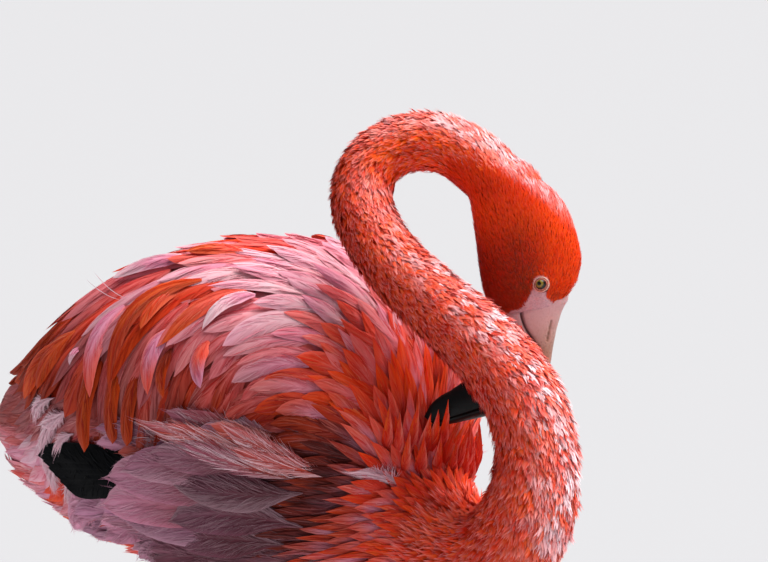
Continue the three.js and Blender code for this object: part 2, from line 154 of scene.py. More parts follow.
def arrays_of(mesh):
    """Vertices in millimetres, and triangles, of a Blender mesh."""
    verts = np.empty(len(mesh.vertices) * 3, np.float32)
    mesh.vertices.foreach_get("co", verts)
    mesh.calc_loop_triangles()
    tris = np.empty(len(mesh.loop_triangles) * 3, np.int32)
    mesh.loop_triangles.foreach_get("vertices", tris)
    return verts.reshape(-1, 3).astype(float) / MM, tris.reshape(-1, 3)

def welded(verts, tris):
    """The mesh with vertices at one place made one."""
    _, first, inverse = np.unique(np.round(verts, 3), axis=0, return_index=True, return_inverse=True)
    tris = inverse.reshape(-1)[tris]
    keep = (tris[:, 0] != tris[:, 1]) & (tris[:, 1] != tris[:, 2]) & (tris[:, 0] != tris[:, 2])
    return verts[first], tris[keep]

def normals_of(verts, tris):
    """Vertex normals, weighted by area."""
    a, b, c = (verts[tris[:, k]] for k in range(3))
    face = np.cross(b - a, c - a)
    total = np.zeros_like(verts)
    for k in range(3):
        np.add.at(total, tris[:, k], face)
    return unit(total)

def relaxed(verts, tris, rounds, share=0.5):
    """Vertices moved towards the mean of their neighbours."""
    edges = np.unique(np.sort(np.concatenate([tris[:, [0, 1]], tris[:, [1, 2]], tris[:, [2, 0]]]), 1), axis=0)
    count = np.bincount(edges.ravel(), minlength=len(verts))[:, None]
    for _ in range(rounds):
        total = np.zeros_like(verts)
        np.add.at(total, edges[:, 0], verts[edges[:, 1]])
        np.add.at(total, edges[:, 1], verts[edges[:, 0]])
        verts = mix(verts, total / np.maximum(count, 1), share)
    return verts

def remeshed(verts, tris, voxel):
    """The closed outer surface of a mesh, by voxels of that size."""
    obj = new_mesh("remesh_source", verts, tris)
    modifier = obj.modifiers.new("Remesh", "REMESH")
    modifier.mode, modifier.voxel_size = "VOXEL", voxel * MM
    bpy.context.view_layer.update()
    found = obj.evaluated_get(bpy.context.evaluated_depsgraph_get())
    result = arrays_of(found.to_mesh())
    found.to_mesh_clear()
    bpy.data.objects.remove(obj)
    return result

def joined(nodes, grow):
    """The CAD nodes' meshes as one pair of arrays, each grown along its normals."""
    verts, tris, start = [], [], 0
    for name in nodes:
        v, t = welded(*arrays_of(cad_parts[name].data))
        verts.append(v + normals_of(v, t) * grow)
        tris.append(t + start)
        start += len(v)
    return np.concatenate(verts), np.concatenate(tris)

def catmull(rows, per):
    """A smooth line through rows of numbers, with that many steps between each two."""
    rows = np.asarray(rows, float)
    padded = np.vstack([2 * rows[0] - rows[1], rows, 2 * rows[-1] - rows[-2]])
    out = []
    for i in range(len(rows) - 1):
        a, b, c, d = padded[i:i + 4]
        for s in np.arange(per) / per:
            out.append(0.5 * (2 * b + (c - a) * s + (2 * a - 5 * b + 4 * c - d) * s ** 2
                              + (3 * b - a - 3 * c + d) * s ** 3))
    return np.array(out + [rows[-1]])

def to_head(p):
    """Points in the head's own axes u, v, w."""
    return (p - HEAD_ORIGIN) @ HEAD_AXES.T

def from_head(q):
    """Points back from the head's own axes."""
    return HEAD_ORIGIN + q @ HEAD_AXES

def grid_tris(rows, cols, closed=False):
    """Triangles between rows of points, each row a line or, if closed, a ring."""
    i = np.arange(rows - 1)[:, None] * cols
    j = np.arange(cols if closed else cols - 1)[None]
    a, b = i + j, i + (j + 1) % cols
    c, d = a + cols, b + cols
    return np.stack([np.stack([a, b, d], -1), np.stack([a, d, c], -1)], 2).reshape(-1, 3)

def outward(verts, tris, inside):
    """The triangles, turned over if they face the places inside instead of away from them."""
    return tris if (normals_of(verts, tris) * (verts - inside)).sum() > 0 else tris[:, ::-1]

class Surface:
    """A triangle mesh that points can be laid on."""

    def __init__(self, verts, tris):
        self.verts, self.tris, self.normals = verts, tris, normals_of(verts, tris)
        self.tree = BVHTree.FromPolygons(verts.tolist(), tris.tolist())

    def nearest(self, points):
        """The nearest places on the mesh, and the triangles they lie on."""
        found = [self.tree.find_nearest(p) for p in points.tolist()]
        return np.array([tuple(f[0]) for f in found]), np.array([f[2] for f in found])

    def weights(self, points, tri):
        """Shares of a triangle's corners at points on it."""
        a, b, c = (self.verts[self.tris[tri, k]] for k in range(3))
        v0, v1, v2 = b - a, c - a, points - a
        d00, d01, d11 = (v0 * v0).sum(1), (v0 * v1).sum(1), (v1 * v1).sum(1)
        d20, d21 = (v2 * v0).sum(1), (v2 * v1).sum(1)
        scale = np.maximum(d00 * d11 - d01 * d01, 1e-12)
        v, w = (d11 * d20 - d01 * d21) / scale, (d00 * d21 - d01 * d20) / scale
        return np.clip(np.stack([1 - v - w, v, w], 1), 0, 1)

    def value(self, field, points, tri):
        """A field given by vertex, at points on triangles."""
        w = self.weights(points, tri)
        corners = field[self.tris[tri]]
        return (corners * (w[..., None] if corners.ndim == 3 else w)).sum(1)

    def scatter(self, count, share):
        """Random points over it, as many to each triangle as its area times its share."""
        a, b, c = (self.verts[self.tris[:, k]] for k in range(3))
        area = np.linalg.norm(np.cross(b - a, c - a), axis=1) * share[self.tris].mean(1)
        tri = rng.choice(len(area), count, p=area / area.sum())
        r, s = np.sqrt(rng.random((count, 1))), rng.random((count, 1))
        return (1 - r) * a[tri] + r * (1 - s) * b[tri] + r * s * c[tri], tri

NEIGHBOURS = [(i - 1, j - 1, k - 1) for i, j, k in np.ndindex(3, 3, 3)]

def spread(points, radius, along, stretch):
    """Indices of points that keep their distance, which is stretch times longer along the lie."""
    keys = np.floor(points / (float(radius.max()) * stretch)).astype(int).tolist()
    cells, kept = {}, []
    for i, (x, y, z) in enumerate(keys):
        near = [j for a, b, c in NEIGHBOURS for j in cells.get((x + a, y + b, z + c), ())]
        if near:
            gap = points[near] - points[i]
            square = (gap * gap).sum(1)
            if along is not None:
                square = square - (1 - 1 / stretch ** 2) * (gap @ along[i]) ** 2
            if (square < radius[i] ** 2).any():
                continue
        cells.setdefault((x, y, z), []).append(i)
        kept.append(i)
    return np.array(kept)

# ------------------------------------------------------------------ neck, head and body regions
neck_line = catmull(NECK, 24)
neck_line[:, 1] += SHIFT_Y
neck_points, neck_radii = neck_line[:, :3], neck_line[:, 3]
neck_share = np.linspace(0, 1, len(neck_points))
neck_along = unit(np.gradient(neck_points, axis=0))

def neck_place(p):
    """For each point, the nearest place on the neck's centre line: index and distance over radius."""
    index = np.empty(len(p), int)
    for start in range(0, len(p), CHUNK):
        part = p[start:start + CHUNK]
        gap = ((part[:, None] - neck_points[None]) ** 2).sum(2) / neck_radii[None] ** 2
        index[start:start + CHUNK] = gap.argmin(1)
    return index, np.linalg.norm(p - neck_points[index], axis=1) / neck_radii[index]

def head_weight(p):
    """1 on the head, 0 on the neck below the nape."""
    q = to_head(p)
    middle = np.interp(q[:, 1], [-26, 13, 52, 79], [-5, -8, -18, -22])
    near = ease(46, 34, np.hypot(q[:, 0] - middle, q[:, 2]))
    return near * ease(78, 58, q[:, 1] + 0.25 * q[:, 0]) * ease(-62, -46, q[:, 1])

def neck_weight(p):
    """1 round the neck, 0 away from it, and the nearest place on its line."""
    index, ratio = neck_place(p)
    return ease(0.075, 0.16, neck_share[index]) * ease(1.5, 1.15, ratio), index

BARE_LORES = np.array([  # bare skin between eye and bill, in the head's u and v
    (-4.8, -3.5), (-8.2, -9.6), (-12.4, -16.2), (-19, -18.6), (-22, -24), (-14, -34), (16, -34),
    (15.2, -19.5), (11.6, -16.4), (6.8, -12), (3.4, -9), (3, -4.6)])
BARE_RIDGE = np.array([(24.5, -1), (23, -5), (16, -20), (12.4, -18.6), (15.6, -12), (19, -6), (21.4, -1)])

def inside_polygon(q, polygon):
    """Signed distance to a polygon's edge, positive inside."""
    a, d = polygon, np.roll(polygon, -1, 0) - polygon
    w = q[:, None] - a[None]
    t = np.clip((w * d).sum(2) / (d * d).sum(1), 0, 1)
    distance = np.linalg.norm(w - t[..., None] * d, axis=2).min(1)
    crosses = (a[:, 1] <= q[:, 1:2]) != (a[:, 1] + d[:, 1] <= q[:, 1:2])
    crossing = a[:, 0] + w[..., 1] * d[:, 0] / np.where(d[:, 1] == 0, 1e-9, d[:, 1])
    inside = (crosses & (q[:, 0:1] < crossing)).sum(1) % 2 == 1
    return np.where(inside, distance, -distance)

def bare_distance(p):
    """How far inside the bare skin of the face a point is, negative outside it."""
    q = to_head(p)
    flat = q[:, :2]
    face = np.maximum(inside_polygon(flat, BARE_LORES), inside_polygon(flat, BARE_RIDGE))
    ring = EYE_OPENING + 1.7 - np.hypot(q[:, 0], q[:, 1])
    side = np.where(np.abs(q[:, 2]) > 8, ring, -9)
    forehead = ease(4, 9, q[:, 0]) * ease(20, 16, q[:, 0])
    face = np.maximum(face, 4.5 - 5.3 * forehead - above_bill(q))
    return np.where(head_weight(p) > 0.5, np.maximum(face, side), -99)

# The lie of the plumage: place, direction of the tips, length, width, share of pale feathers.
# Rows marked B are body, W wing and back, A both. The left side mirrors the right.
LIE = [
    ("A", 0, -60, 800, 0, 1, .03, 45, 14, .75), ("A", 0, 0, 799, 0, 1, -.03, 55, 15, .7),
    ("A", 0, 90, 782, 0, 1, -.2, 72, 16, .55), ("A", 0, 170, 730, 0, .9, -.45, 82, 17, .35),
    ("A", 0, 225, 690, 0, .85, -.5, 60, 16, .6), ("A", -40, -30, 793, -.25, .95, -.1, 60, 14, .7),
    ("A", -42, 30, 788, -.2, .95, -.2, 78, 16, .55), ("A", -61, 90, 765, -.2, .85, -.45, 92, 17, .4),
    ("A", -49, -56, 785, -.35, .93, 0, 56, 13, .75), ("A", -23, -94, 780, -.2, .95, .25, 44, 12, .7),
    ("W", -73, -31, 776, -.45, .8, -.32, 76, 15, .55), ("W", -87, 37, 762, -.3, .75, -.55, 98, 17, .5),
    ("W", -97, 80, 733, -.07, .75, -.65, 105, 18, .4), ("W", -93, 7, 759, -.4, .6, -.65, 96, 17, .45),
    ("W", -103, 49, 736, -.25, .5, -.82, 105, 18, .4), ("W", -105, 86, 704, -.03, .45, -.88, 105, 18, .3),
    ("W", -94, 124, 689, .11, .6, -.78, 100, 18, .12), ("W", -94, 114, 710, .1, .8, -.58, 100, 18, .12),
    ("A", -70, 170, 705, .3, .8, -.5, 90, 17, .2), ("A", -53, -88, 769, -.4, .9, .03, 50, 13, .7),
    ("A", -78, -67, 763, -.55, .75, -.29, 60, 14, .7), ("W", -98, -33, 749, -.35, .62, -.7, 76, 16, .5),
    ("W", -108, 4, 731, -.3, .3, -.9, 88, 17, .5), ("W", -113, 38, 699, -.1, .2, -.97, 92, 18, .35),
    ("W", -105, 86, 680, .15, .4, -.88, 88, 18, .12), ("A", -67, -102, 751, -.6, .78, -.05, 46, 13, .6),
    ("W", -82, -90, 743, -.6, .7, -.33, 50, 14, .6), ("W", -97, -69, 732, -.42, .58, -.7, 62, 15, .5),
    ("W", -108, -38, 718, -.18, .3, -.94, 72, 16, .45), ("W", -112, -9, 696, .05, .25, -.97, 74, 17, .4),
    ("W", -109, 37, 675, .3, .33, -.88, 62, 17, .3), ("A", -73, -109, 734, -.6, .78, -.01, 42, 13, .5),
    ("W", -90, -94, 721, -.47, .73, -.49, 46, 14, .5), ("W", -102, -69, 707, -.15, .45, -.88, 50, 14, .4),
    ("A", -74, -119, 712, -.55, .83, .08, 40, 12, .35), ("W", -90, -98, 702, -.5, .8, -.25, 42, 13, .3),
    ("A", -36, -112, 763, -.35, .79, .5, 42, 12, .6), ("A", -47, -124, 746, -.39, .67, .63, 40, 12, .5),
    ("A", -54, -131, 728, -.46, .67, .58, 38, 12, .4), ("B", -26, -125, 757, -.15, .62, .77, 40, 12, .6),
    ("B", -36, -139, 733, -.15, .5, .85, 38, 11, .35), ("B", -19, -145, 732, -.02, .43, .9, 38, 11, .3),
    ("B", 0, -154, 719, 0, .25, .97, 36, 11, .2), ("A", -62, -134, 703, -.56, .69, .46, 38, 12, .25),
    ("B", -44, -147, 702, -.25, .38, .9, 38, 11, .2), ("B", -29, -155, 689, -.24, .2, .95, 36, 11, .1),
    ("B", 0, -160, 680, 0, .06, 1, 34, 10, .08), ("B", -50, -149, 677, -.47, .45, .76, 36, 11, .12),
    ("B", -64, -136, 684, -.58, .67, .46, 38, 12, .15), ("B", -80, -116, 684, -.51, .83, .21, 40, 12, .2),
    ("B", -95, -85, 685, -.34, .93, .05, 42, 13, .25), ("B", -17, -170, 651, -.26, .79, .56, 22, 9, .2),
    ("B", -30, -156, 663, -.45, .4, .79, 30, 10, .15), ("B", -44, -152, 645, -.65, .65, .33, 28, 10, .35),
    ("B", -63, -135, 652, -.65, .75, .14, 34, 11, .3), ("B", -79, -115, 658, -.51, .85, .17, 45, 13, .5),
    ("B", -96, -67, 655, -.23, .96, .16, 60, 16, .7), ("B", -104, -29, 665, -.15, .97, .18, 60, 16, .6),
    ("B", -98, 25, 639, .02, 1, 0, 70, 18, .75), ("B", -89, -32, 624, -.13, .99, .06, 65, 17, .75),
    ("B", -76, 70, 605, .26, .94, -.15, 60, 16, .6), ("B", -76, 120, 620, .45, .7, -.5, 45, 13, .4),
    ("B", -88, 125, 662, .33, .8, -.4, 44, 13, .95), ("B", -100, 90, 676, .2, .8, -.5, 40, 12, .85),
    ("B", -40, -166, 627, -.26, .96, .12, 22, 8, .2), ("B", -58, -130, 625, -.6, .79, .04, 34, 11, .3),
    ("B", 0, -150, 600, 0, 1, -.1, 26, 9, .3), ("B", 0, -80, 566, 0, 1, 0, 40, 13, .5),
    ("B", 0, 20, 560, 0, 1, .02, 45, 14, .6), ("B", 0, 120, 575, 0, .98, .15, 45, 14, .6),
    ("B", -55, -60, 585, -.1, 1, 0, 45, 14, .55), ("B", -55, 60, 580, .1, 1, .05, 48, 14, .6),
    ("A", 0, 200, 610, 0, .95, .1, 50, 14, .7), ("A", -45, 190, 650, .2, .95, -.1, 55, 15, .7),
]

def lie_field(p, kinds):
    """Direction, length, width and pale share at each point, from the rows of those kinds."""
    rows = np.array([row[1:] for row in LIE if row[0] in kinds], float)
    mirrored = rows * np.array([-1, 1, 1, -1, 1, 1, 1, 1, 1])
    rows = np.concatenate([rows, mirrored[rows[:, 0] != 0]])
    out = np.empty((len(p), 6))
    for start in range(0, len(p), CHUNK):
        part = p[start:start + CHUNK]
        square = ((part[:, None] - rows[None, :, :3]) ** 2).sum(2)
        weight = 1 / (square + 60) ** 2
        out[start:start + CHUNK] = weight @ rows[:, 3:] / weight.sum(1, keepdims=True)
    return unit(out[:, :3]), out[:, 3], out[:, 4], out[:, 5]

# ------------------------------------------------------------------ skin
BODY_DEPTH, HEAD_DEPTH, BARE_DEPTH = 9.0, 1.5, 0.25
NECK_DEPTH = ([0.1, 0.3, 0.5, 1], [6, 3.4, 2.9, 2.5])  # by share of the neck's length
THIGH_DEPTH = ([488, 500, 545], [0.6, 1.4, 5])  # by height

def coat_depth(p):
    """How far the skin lies inside the feathers' tips."""
    neck, index = neck_weight(p)
    deep = mix(np.full(len(p), BODY_DEPTH), np.interp(neck_share[index], *NECK_DEPTH), neck)
    deep = mix(deep, np.interp(p[:, 2], *THIGH_DEPTH), ease(575, 548, p[:, 2]))
    deep = mix(deep, HEAD_DEPTH, head_weight(p))
    return mix(deep, BARE_DEPTH, ease(-2.5, 0.5, bare_distance(p)))

def above_bill(q):
    """How far a point of the head, in its own axes, is above the plane where the bill begins."""
    return q[:, 1] - 0.354 * q[:, 0] + 18.2

BILL_ROOT = np.array([-3.0, -18.5, 0])  # the middle of that plane

def tucked(p):
    """The end of the head's skin, drawn in under the bill's edge."""
    q = to_head(p)
    near = ease(10, 1.5, above_bill(q)) * (head_weight(p) > 0.5) * (np.hypot(*(q - BILL_ROOT)[:, :2].T) < 32)
    return from_head(mix(q, BILL_ROOT, 0.17 * near))

def head_surface():
    """The head's smooth outer surface, by its slices, open at the nape."""
    slices = catmull(HEAD_SLICES, 12)
    angle = np.linspace(0, 2 * np.pi, 96, endpoint=False)
    u = (slices[:, 0:1] + slices[:, 2:3]) / 2 + (slices[:, 0:1] - slices[:, 2:3]) / 2 * np.cos(angle)
    v = (slices[:, 1:2] + slices[:, 3:4]) / 2 + (slices[:, 1:2] - slices[:, 3:4]) / 2 * np.cos(angle)
    w = slices[:, 4:5] * np.sin(angle)
    verts = from_head(np.stack([u, v, w], -1).reshape(-1, 3))
    return Surface(verts, grid_tris(len(slices), 96, closed=True))

SIDES = (("right", -1), ("left", 1))
FLESH_VOXEL, LEG_VOXEL = 3.0, 1.15
FLESH = ["trunk", "neck_base", "neck_lower", "neck_middle", "neck_upper", "head"]
FLESH += [f"{part}_{side}" for part in ("wing", "thigh") for side, _ in SIDES]

def finer(verts, tris, chosen):
    """The mesh, with the edges of the chosen triangles cut in three."""
    source = new_mesh("finer_source", verts, tris)
    bm = bmesh.new()
    bm.from_mesh(source.data)
    bm.faces.ensure_lookup_table()
    edges = {e for i in np.flatnonzero(chosen) for e in bm.faces[i].edges}
    bmesh.ops.subdivide_edges(bm, edges=list(edges), cuts=2, use_grid_fill=True)
    bmesh.ops.triangulate(bm, faces=bm.faces)
    bm.to_mesh(source.data)
    bm.free()
    verts, tris = arrays_of(source.data)
    bpy.data.objects.remove(source)
    return verts, tris

def towards_head(verts, smooth_head, top, bottom):
    """The nearest places on the head's smooth surface, and each vertex's share of the way there."""
    near, _ = smooth_head.nearest(verts)
    share = head_weight(verts) * ease(top, bottom, to_head(verts)[:, 1])
    return near, share * ease(9, 3, np.linalg.norm(near - verts, axis=1))

def skin_arrays():
    """The flesh as one smooth closed mesh, finer over the face."""
    verts, tris = remeshed(*joined(FLESH, 0.5), FLESH_VOXEL)
    verts = relaxed(verts, tris, 6)
    smooth_head = head_surface()
    near, share = towards_head(verts, smooth_head, 62, 50)
    verts = mix(verts - normals_of(verts, tris) * 0.3, near, share)
    centres = verts[tris].mean(1)
    verts, tris = finer(verts, tris, (head_weight(centres) > 0.3) & (to_head(centres)[:, 1] < 14))
    verts = relaxed(verts, tris, 2, 0.4)
    verts = mix(verts, *towards_head(verts, smooth_head, 40, 28))
    return verts, tris, normals_of(verts, tris)

outer_verts, skin_tris, outer_normals = skin_arrays()
depth = relaxed(coat_depth(outer_verts)[:, None], skin_tris, 6)[:, 0]
skin_verts = tucked(relaxed(outer_verts - outer_normals * depth[:, None], skin_tris, 1, 0.3))
skin = Surface(skin_verts, skin_tris)
print("skin", len(skin_verts), len(skin_tris))

# ------------------------------------------------------------------ fields over the skin
neck_on, neck_at = neck_weight(skin_verts)
head_on = head_weight(skin_verts)
thigh_on = ease(566, 544, skin_verts[:, 2])
bare_in = bare_distance(skin_verts)
FACE_POLE = np.array([4.0, -48.0, 0.0])  # the head's feathers all point away from here

def along_skin(body_lie):
    """The lie over the whole skin, given the body's own."""
    lie = mix(body_lie, -neck_along[neck_at], neck_on)
    lie = mix(lie, np.array([0, 0.1, -1.0]) + 0 * lie, thigh_on)
    lie = mix(lie, unit((to_head(skin_verts) - FACE_POLE) * [1, 1, 0.8]) @ HEAD_AXES, head_on)
    lie = unit(lie - skin.normals * dot(lie, skin.normals))
    return unit(relaxed(lie, skin_tris, 4))

body_lie, body_length, body_width, body_pale = lie_field(skin_verts, "AB")
wing_lie, wing_length, wing_width, wing_pale = lie_field(skin_verts, "AW")
body_lie, wing_lie = along_skin(body_lie), along_skin(wing_lie)
soft_normals = unit(relaxed(skin.normals, skin_tris, 12))

def trace(roots, tri, lengths, steps, lie):
    """Lines laid over the skin from each root along a lie: places and normals at each step."""
    p, last, places, normals = roots, None, [], []
    for k in range(steps + 1):
        n = unit(skin.value(soft_normals, p, tri))
        places.append(p)
        normals.append(n)
        if k == steps:
            break
        d = skin.value(lie, p, tri)
        d = d if last is None else d + 0.8 * last
        d = unit(d - n * dot(d, n))
        last = d
        p, tri = skin.nearest(p + d * (lengths / steps)[:, None])
    places, normals = np.stack(places, 1), np.stack(normals, 1)
    for _ in range(2):
        for line in (places, normals):
            line[:, 1:-1] = (line[:, :-2] + 2 * line[:, 1:-1] + line[:, 2:]) / 4
    return places, unit(normals)

# ------------------------------------------------------------------ markings
def blob(p, centre, size):
    """1 at the centre, falling to nothing over that size."""
    return np.exp(-(((p - np.asarray(centre)) / np.asarray(size)) ** 2).sum(1))

def speckle(p, size, seed, low, high):
    """Spots of noise, with soft edges between those levels."""
    return ease(low, high, noise(p, size, seed))

def rust_and_shade(p):
    """How rust-orange the feathers are at those points towards the tail, and how dark and rust-brown low on
    the wing, which is painted shade.
    """
    rear = ease(40, 130, p[:, 1]) * ease(650, 690, p[:, 2])
    # painted shade: low on the wing the feathers turn dark rust
    low_wing_shade = ease(748, 684, p[:, 2]) * ease(-95, -45, p[:, 1]) * ease(642, 655, p[:, 2])
    return np.maximum(rear, 0.95 * low_wing_shade)

# The first is a white plume low on the breast; the other two are painted highlight on the shoulder and the
# back.
PALE_AND_LIT_PATCHES = [  # centre, size and strength of paler patches, given for the right side
    ((-47, -150, 653), (9, 9, 9), 0.9), ((-38, -128, 762), (26, 30, 24), 0.9),
    ((-46, -92, 774), (26, 34, 18), 0.7)]
FLUFF = ((-95, 115, 670), (30, 30, 20))  # round the end of the flight feathers
SHADED_PATCHES = [((-88, 72, 606), (40, 50, 16)), ((-52, -132, 616), (28, 26, 20))]  # painted shade on the belly, under the flight feathers and below the breast

def painted_shade(p):
    """Painted shade: how much darker the feathers are painted low on the wing, and on the flank below the
    shoulder.
    """
    x, y, z = np.abs(p[:, 0]), p[:, 1], p[:, 2]
    wing = 0.4 * ease(748, 698, z) * ease(-140, -105, y) * ease(648, 662, z)
    flank = 0.93 * ease(690, 668, z) * ease(-30, -75, y) * ease(-174, -152, y) * ease(34, 48, x)
    return wing, flank

def body_shades(p, tips, pale, deep):
    """Colours of feathers with those roots and tips: base, tip and paler margin, with painted shade and
    highlight laid in.
    """
    count = len(p)
    pick, tone, warm = rng.random(count), rng.random(count), rng.random(count)
    right = np.where([True, False, False], -np.abs(p), p)
    # painted highlight: the shoulder's feathers are painted paler and pinker
    shoulder = ease(690, 718, p[:, 2]) * ease(-55, -95, p[:, 1])
    for centre, size, strength in PALE_AND_LIT_PATCHES:
        pale = pale + strength * blob(right, centre, size)
    pale = pale + 0.3 * shoulder + blob(right, *FLUFF) * (0.8 - 1.7 * speckle(p, 11, 17, 0.55, 0.7))
    white = ease(0.75, 0.95, pale)
    rear, rear_tip = rust_and_shade(p), rust_and_shade(tips)
    is_pale = ease(-0.22, 0.22, pale + 0.7 * (noise(p, 45, 3) - 0.5) - pick) * (1 - 0.62 * rear_tip)
    breast = ease(-62, -100, p[:, 1]) * (1 - 0.85 * shoulder)

    pale_tip = mix(mix(LILAC, BLUSH, 0.7 * tone), SALMON, 0.35 * warm * (1 - white))
    pale_base = mix(mix(LILAC, SALMON, 0.6 * warm), BLUSH, 0.7 * white)
    warm_base = mix(mix(CORAL, SALMON, 0.45 * tone), RED, 0.3 * warm)
    warm_base = mix(warm_base, SHADE_RED, 0.5 * breast * tone)
    warm_base = mix(warm_base, mix(SALMON, LILAC, 0.7 * tone), 0.85 * shoulder)
    warm_base = mix(warm_base, RUST, 0.85 * rear)
    warm_tip = mix(mix(ORANGE, CORAL, 0.35 * warm), RED, 0.25 * tone * (1 - 0.6 * breast))
    warm_tip = mix(warm_tip, mix(CORAL, SALMON, warm), 0.7 * shoulder)
    warm_tip = mix(warm_tip, mix(ORANGE, RUST, 0.3 + 0.7 * tone), rear_tip)
    warm_tip = mix(warm_tip, DEEP_RUST, 0.7 * rear_tip * warm)

    base = mix(warm_base, pale_base, is_pale)
    tip = mix(warm_tip, pale_tip, is_pale * (1 - 0.8 * breast * (1 - white)))
    tip = mix(tip, SALMON, 0.35 * breast * is_pale)
    lilac_edge = np.clip(0.5 * pale, 0, 1) * rng.random(count) * (1 - 0.7 * breast)
    margin = mix(mix(mix(tip, SALMON, 0.3), LILAC, lilac_edge), tip, 0.7 * rear_tip)
    # Painted shade: the flank and belly are darkened towards maroon, the lower wing towards a shadow colour,
    # and deep darkens feathers seen in the gaps.
    flank = painted_shade(p)[1] * (1 - white)
    for centre, size in SHADED_PATCHES:
        flank = np.maximum(flank, 0.6 * blob(right, centre, size))
    shadow = mix(DEEP_RUST, MAROON, is_pale)
    shades = []
    for shade, deeper, q in ((base, SHADE_RED, p), (tip, RED, tips), (margin, RED, tips)):
        low = painted_shade(q)[0] * rng.uniform(0.5, 1.4, count)
        shade = mix(mix(shade, deeper, deep), shadow, low)
        shades.append(mix(shade, MAROON, flank * rng.uniform(0.75, 1.07, count)))
    return shades

def neck_shades(p):
    """Colours of the neck's tufts: white mottles in front and on the crown of the bend, on the side towards
    the key light and partly painted highlight; redder on the side away from it, as painted shade.
    """
    index, _ = neck_place(p)
    share = neck_share[index]
    out = unit(p - neck_points[index])
    # The top of the bend, towards the key light, is painted whiter: partly pale tips, partly painted
    # highlight.
    outer = ease(0.62, 0.74, share) * ease(0.1, 0.8, out[:, 2] + 0.4 * out @ np.array([0.7, -0.7, 0.0]))
    outer = outer * (0.5 + 0.5 * ease(0.84, 0.95, share))
    # ahead faces the key light, so the white in front is partly painted highlight.
    ahead = ease(-0.55, 0.6, out @ np.array([0.65, -0.65, 0.35]))
    front = ease(0.12, 0.3, share) * ease(0.74, 0.5, share) * ahead
    white = front * (0.1 + 0.9 * speckle(p, 3.2, 5, 0.47, 0.6)) * (0.4 + 0.6 * speckle(p, 13, 6, 0.3, 0.6))
    white = np.clip(white + outer * (0.25 + 0.6 * speckle(p, 3.2, 7, 0.4, 0.65)), 0, 1)
    hot = np.clip(0.45 + 1.1 * (noise(p, 12, 8) - 0.5) + 0.5 * ease(0.4, 0.7, share), 0, 1)
    shade = mix(CORAL, ORANGE, hot)
    shade = mix(shade, SALMON, 0.35 * speckle(p, 4, 10, 0.45, 0.75) * ease(0.75, 0.4, share))
    shade = mix(shade, RED, 0.55 * speckle(p, 5, 9, 0.5, 0.7))
    # Painted shade: the side away from the key light is painted redder.
    inner = ease(0.1, 0.9, out @ np.array([-0.7, 0.7, -0.1]))
    shade = mix(shade, RED, 0.4 * inner)
    return mix(shade, BLUSH, 0.95 * white * (1 - 0.6 * inner))

def head_shades(p):
    """Colours of the head's tufts: cheeks darker as painted shade, darker lores, a paler crown."""
    q = to_head(p)
    # painted shade: the cheeks and throat, away from the key light, are painted darker and browner
    shaded_cheek = ease(10, -18, q[:, 0]) * ease(46, 6, q[:, 1])
    shade = mix(mix(FIRE, RED, 0.1 + 0.4 * shaded_cheek), DEEP_RUST, 0.85 * shaded_cheek)
    shade = mix(shade, RED, 0.45 * ease(34, 60, q[:, 1]))
    temple = blob(q[:, :2], (-11, 22), (13, 18))
    shade = mix(shade, DEEP_RUST, 0.6 * temple * (0.5 + 0.5 * speckle(p, 5, 19, 0.35, 0.65)))
    lore = blob(q[:, :2], (-7, -2), (9, 10)) + 0.5 * blob(q[:, :2], (9, -10), (5, 5))
    shade = mix(shade, BROWN, 0.95 * np.clip(lore, 0, 1) * (0.3 + 0.7 * speckle(p, 1.5, 14, 0.3, 0.6)))
    crown_edge = np.interp(q[:, 1], [24, 37, 51, 66, 80], [27, 15, 1, -19, -36])
    crown = ease(-4, 9, q[:, 0] - crown_edge) * ease(20, 44, q[:, 1])
    shade = mix(shade, BLUSH, 0.62 * crown * (0.35 + 0.65 * speckle(p, 2.6, 13, 0.4, 0.65)))
    return mix(shade, RED, 0.3 * speckle(p, 2.2, 12, 0.5, 0.8))

def skin_shades(p):
    """Colours of the skin: those of the coat above it, darker as painted shade, and the bare face's own."""
    warm = mix(CORAL, SALMON, body_pale * 0.9)
    warm = mix(warm, LILAC, 0.4 * speckle(p, 18, 2, 0.4, 0.8) * body_pale)
    # painted shade: under the feathers the skin is painted darker than the coat
    shade = mix(mix(warm, RED, 0.5) * 0.7, neck_shades(p), neck_on)
    shade = mix(shade, head_shades(p) * 0.85, head_on)
    pale = mix(FACE_PINK, SALMON, 0.15 * speckle(p, 3, 15, 0.4, 0.8))
    pale = mix(pale, BROWN, 0.12 * speckle(p, 1.1, 16, 0.55, 0.8))
    return mix(shade, pale, ease(-1.2, 0.4, bare_in))

# ------------------------------------------------------------------ materials
def node(tree, kind, inputs=None, **settings):
    """A shader node with its settings, links and values."""
    made = tree.nodes.new(kind)
    for key, value in settings.items():
        setattr(made, key, value)
    for key, value in (inputs or {}).items():
        if isinstance(value, bpy.types.NodeSocket):
            tree.links.new(value, made.inputs[key])
        else:
            made.inputs[key].default_value = value
    return made

def material(name, **shader):
    """A new material, its node tree and its shader, with those constant values."""
    made = bpy.data.materials.new(name)
    made.use_nodes = True
    tree = made.node_tree
    principled = tree.nodes["Principled BSDF"]
    for key, value in shader.items():
        principled.inputs[key.replace("_", " ")].default_value = value
    return made, tree, principled

def blended(tree, a, b, factor, blend="MIX"):
    """The mix of two colours, sockets or constants, by a factor."""
    made = node(tree, "ShaderNodeMix", data_type="RGBA", blend_type=blend)
    for index, value in ((0, factor), (6, a), (7, b)):
        if isinstance(value, bpy.types.NodeSocket):
            tree.links.new(value, made.inputs[index])
        else:
            made.inputs[index].default_value = value
    return made.outputs[2]

def maths(tree, operation, a, b):
    return node(tree, "ShaderNodeMath", {0: a, 1: b}, operation=operation).outputs[0]

def times(tree, a, b):
    return maths(tree, "MULTIPLY", a, b)

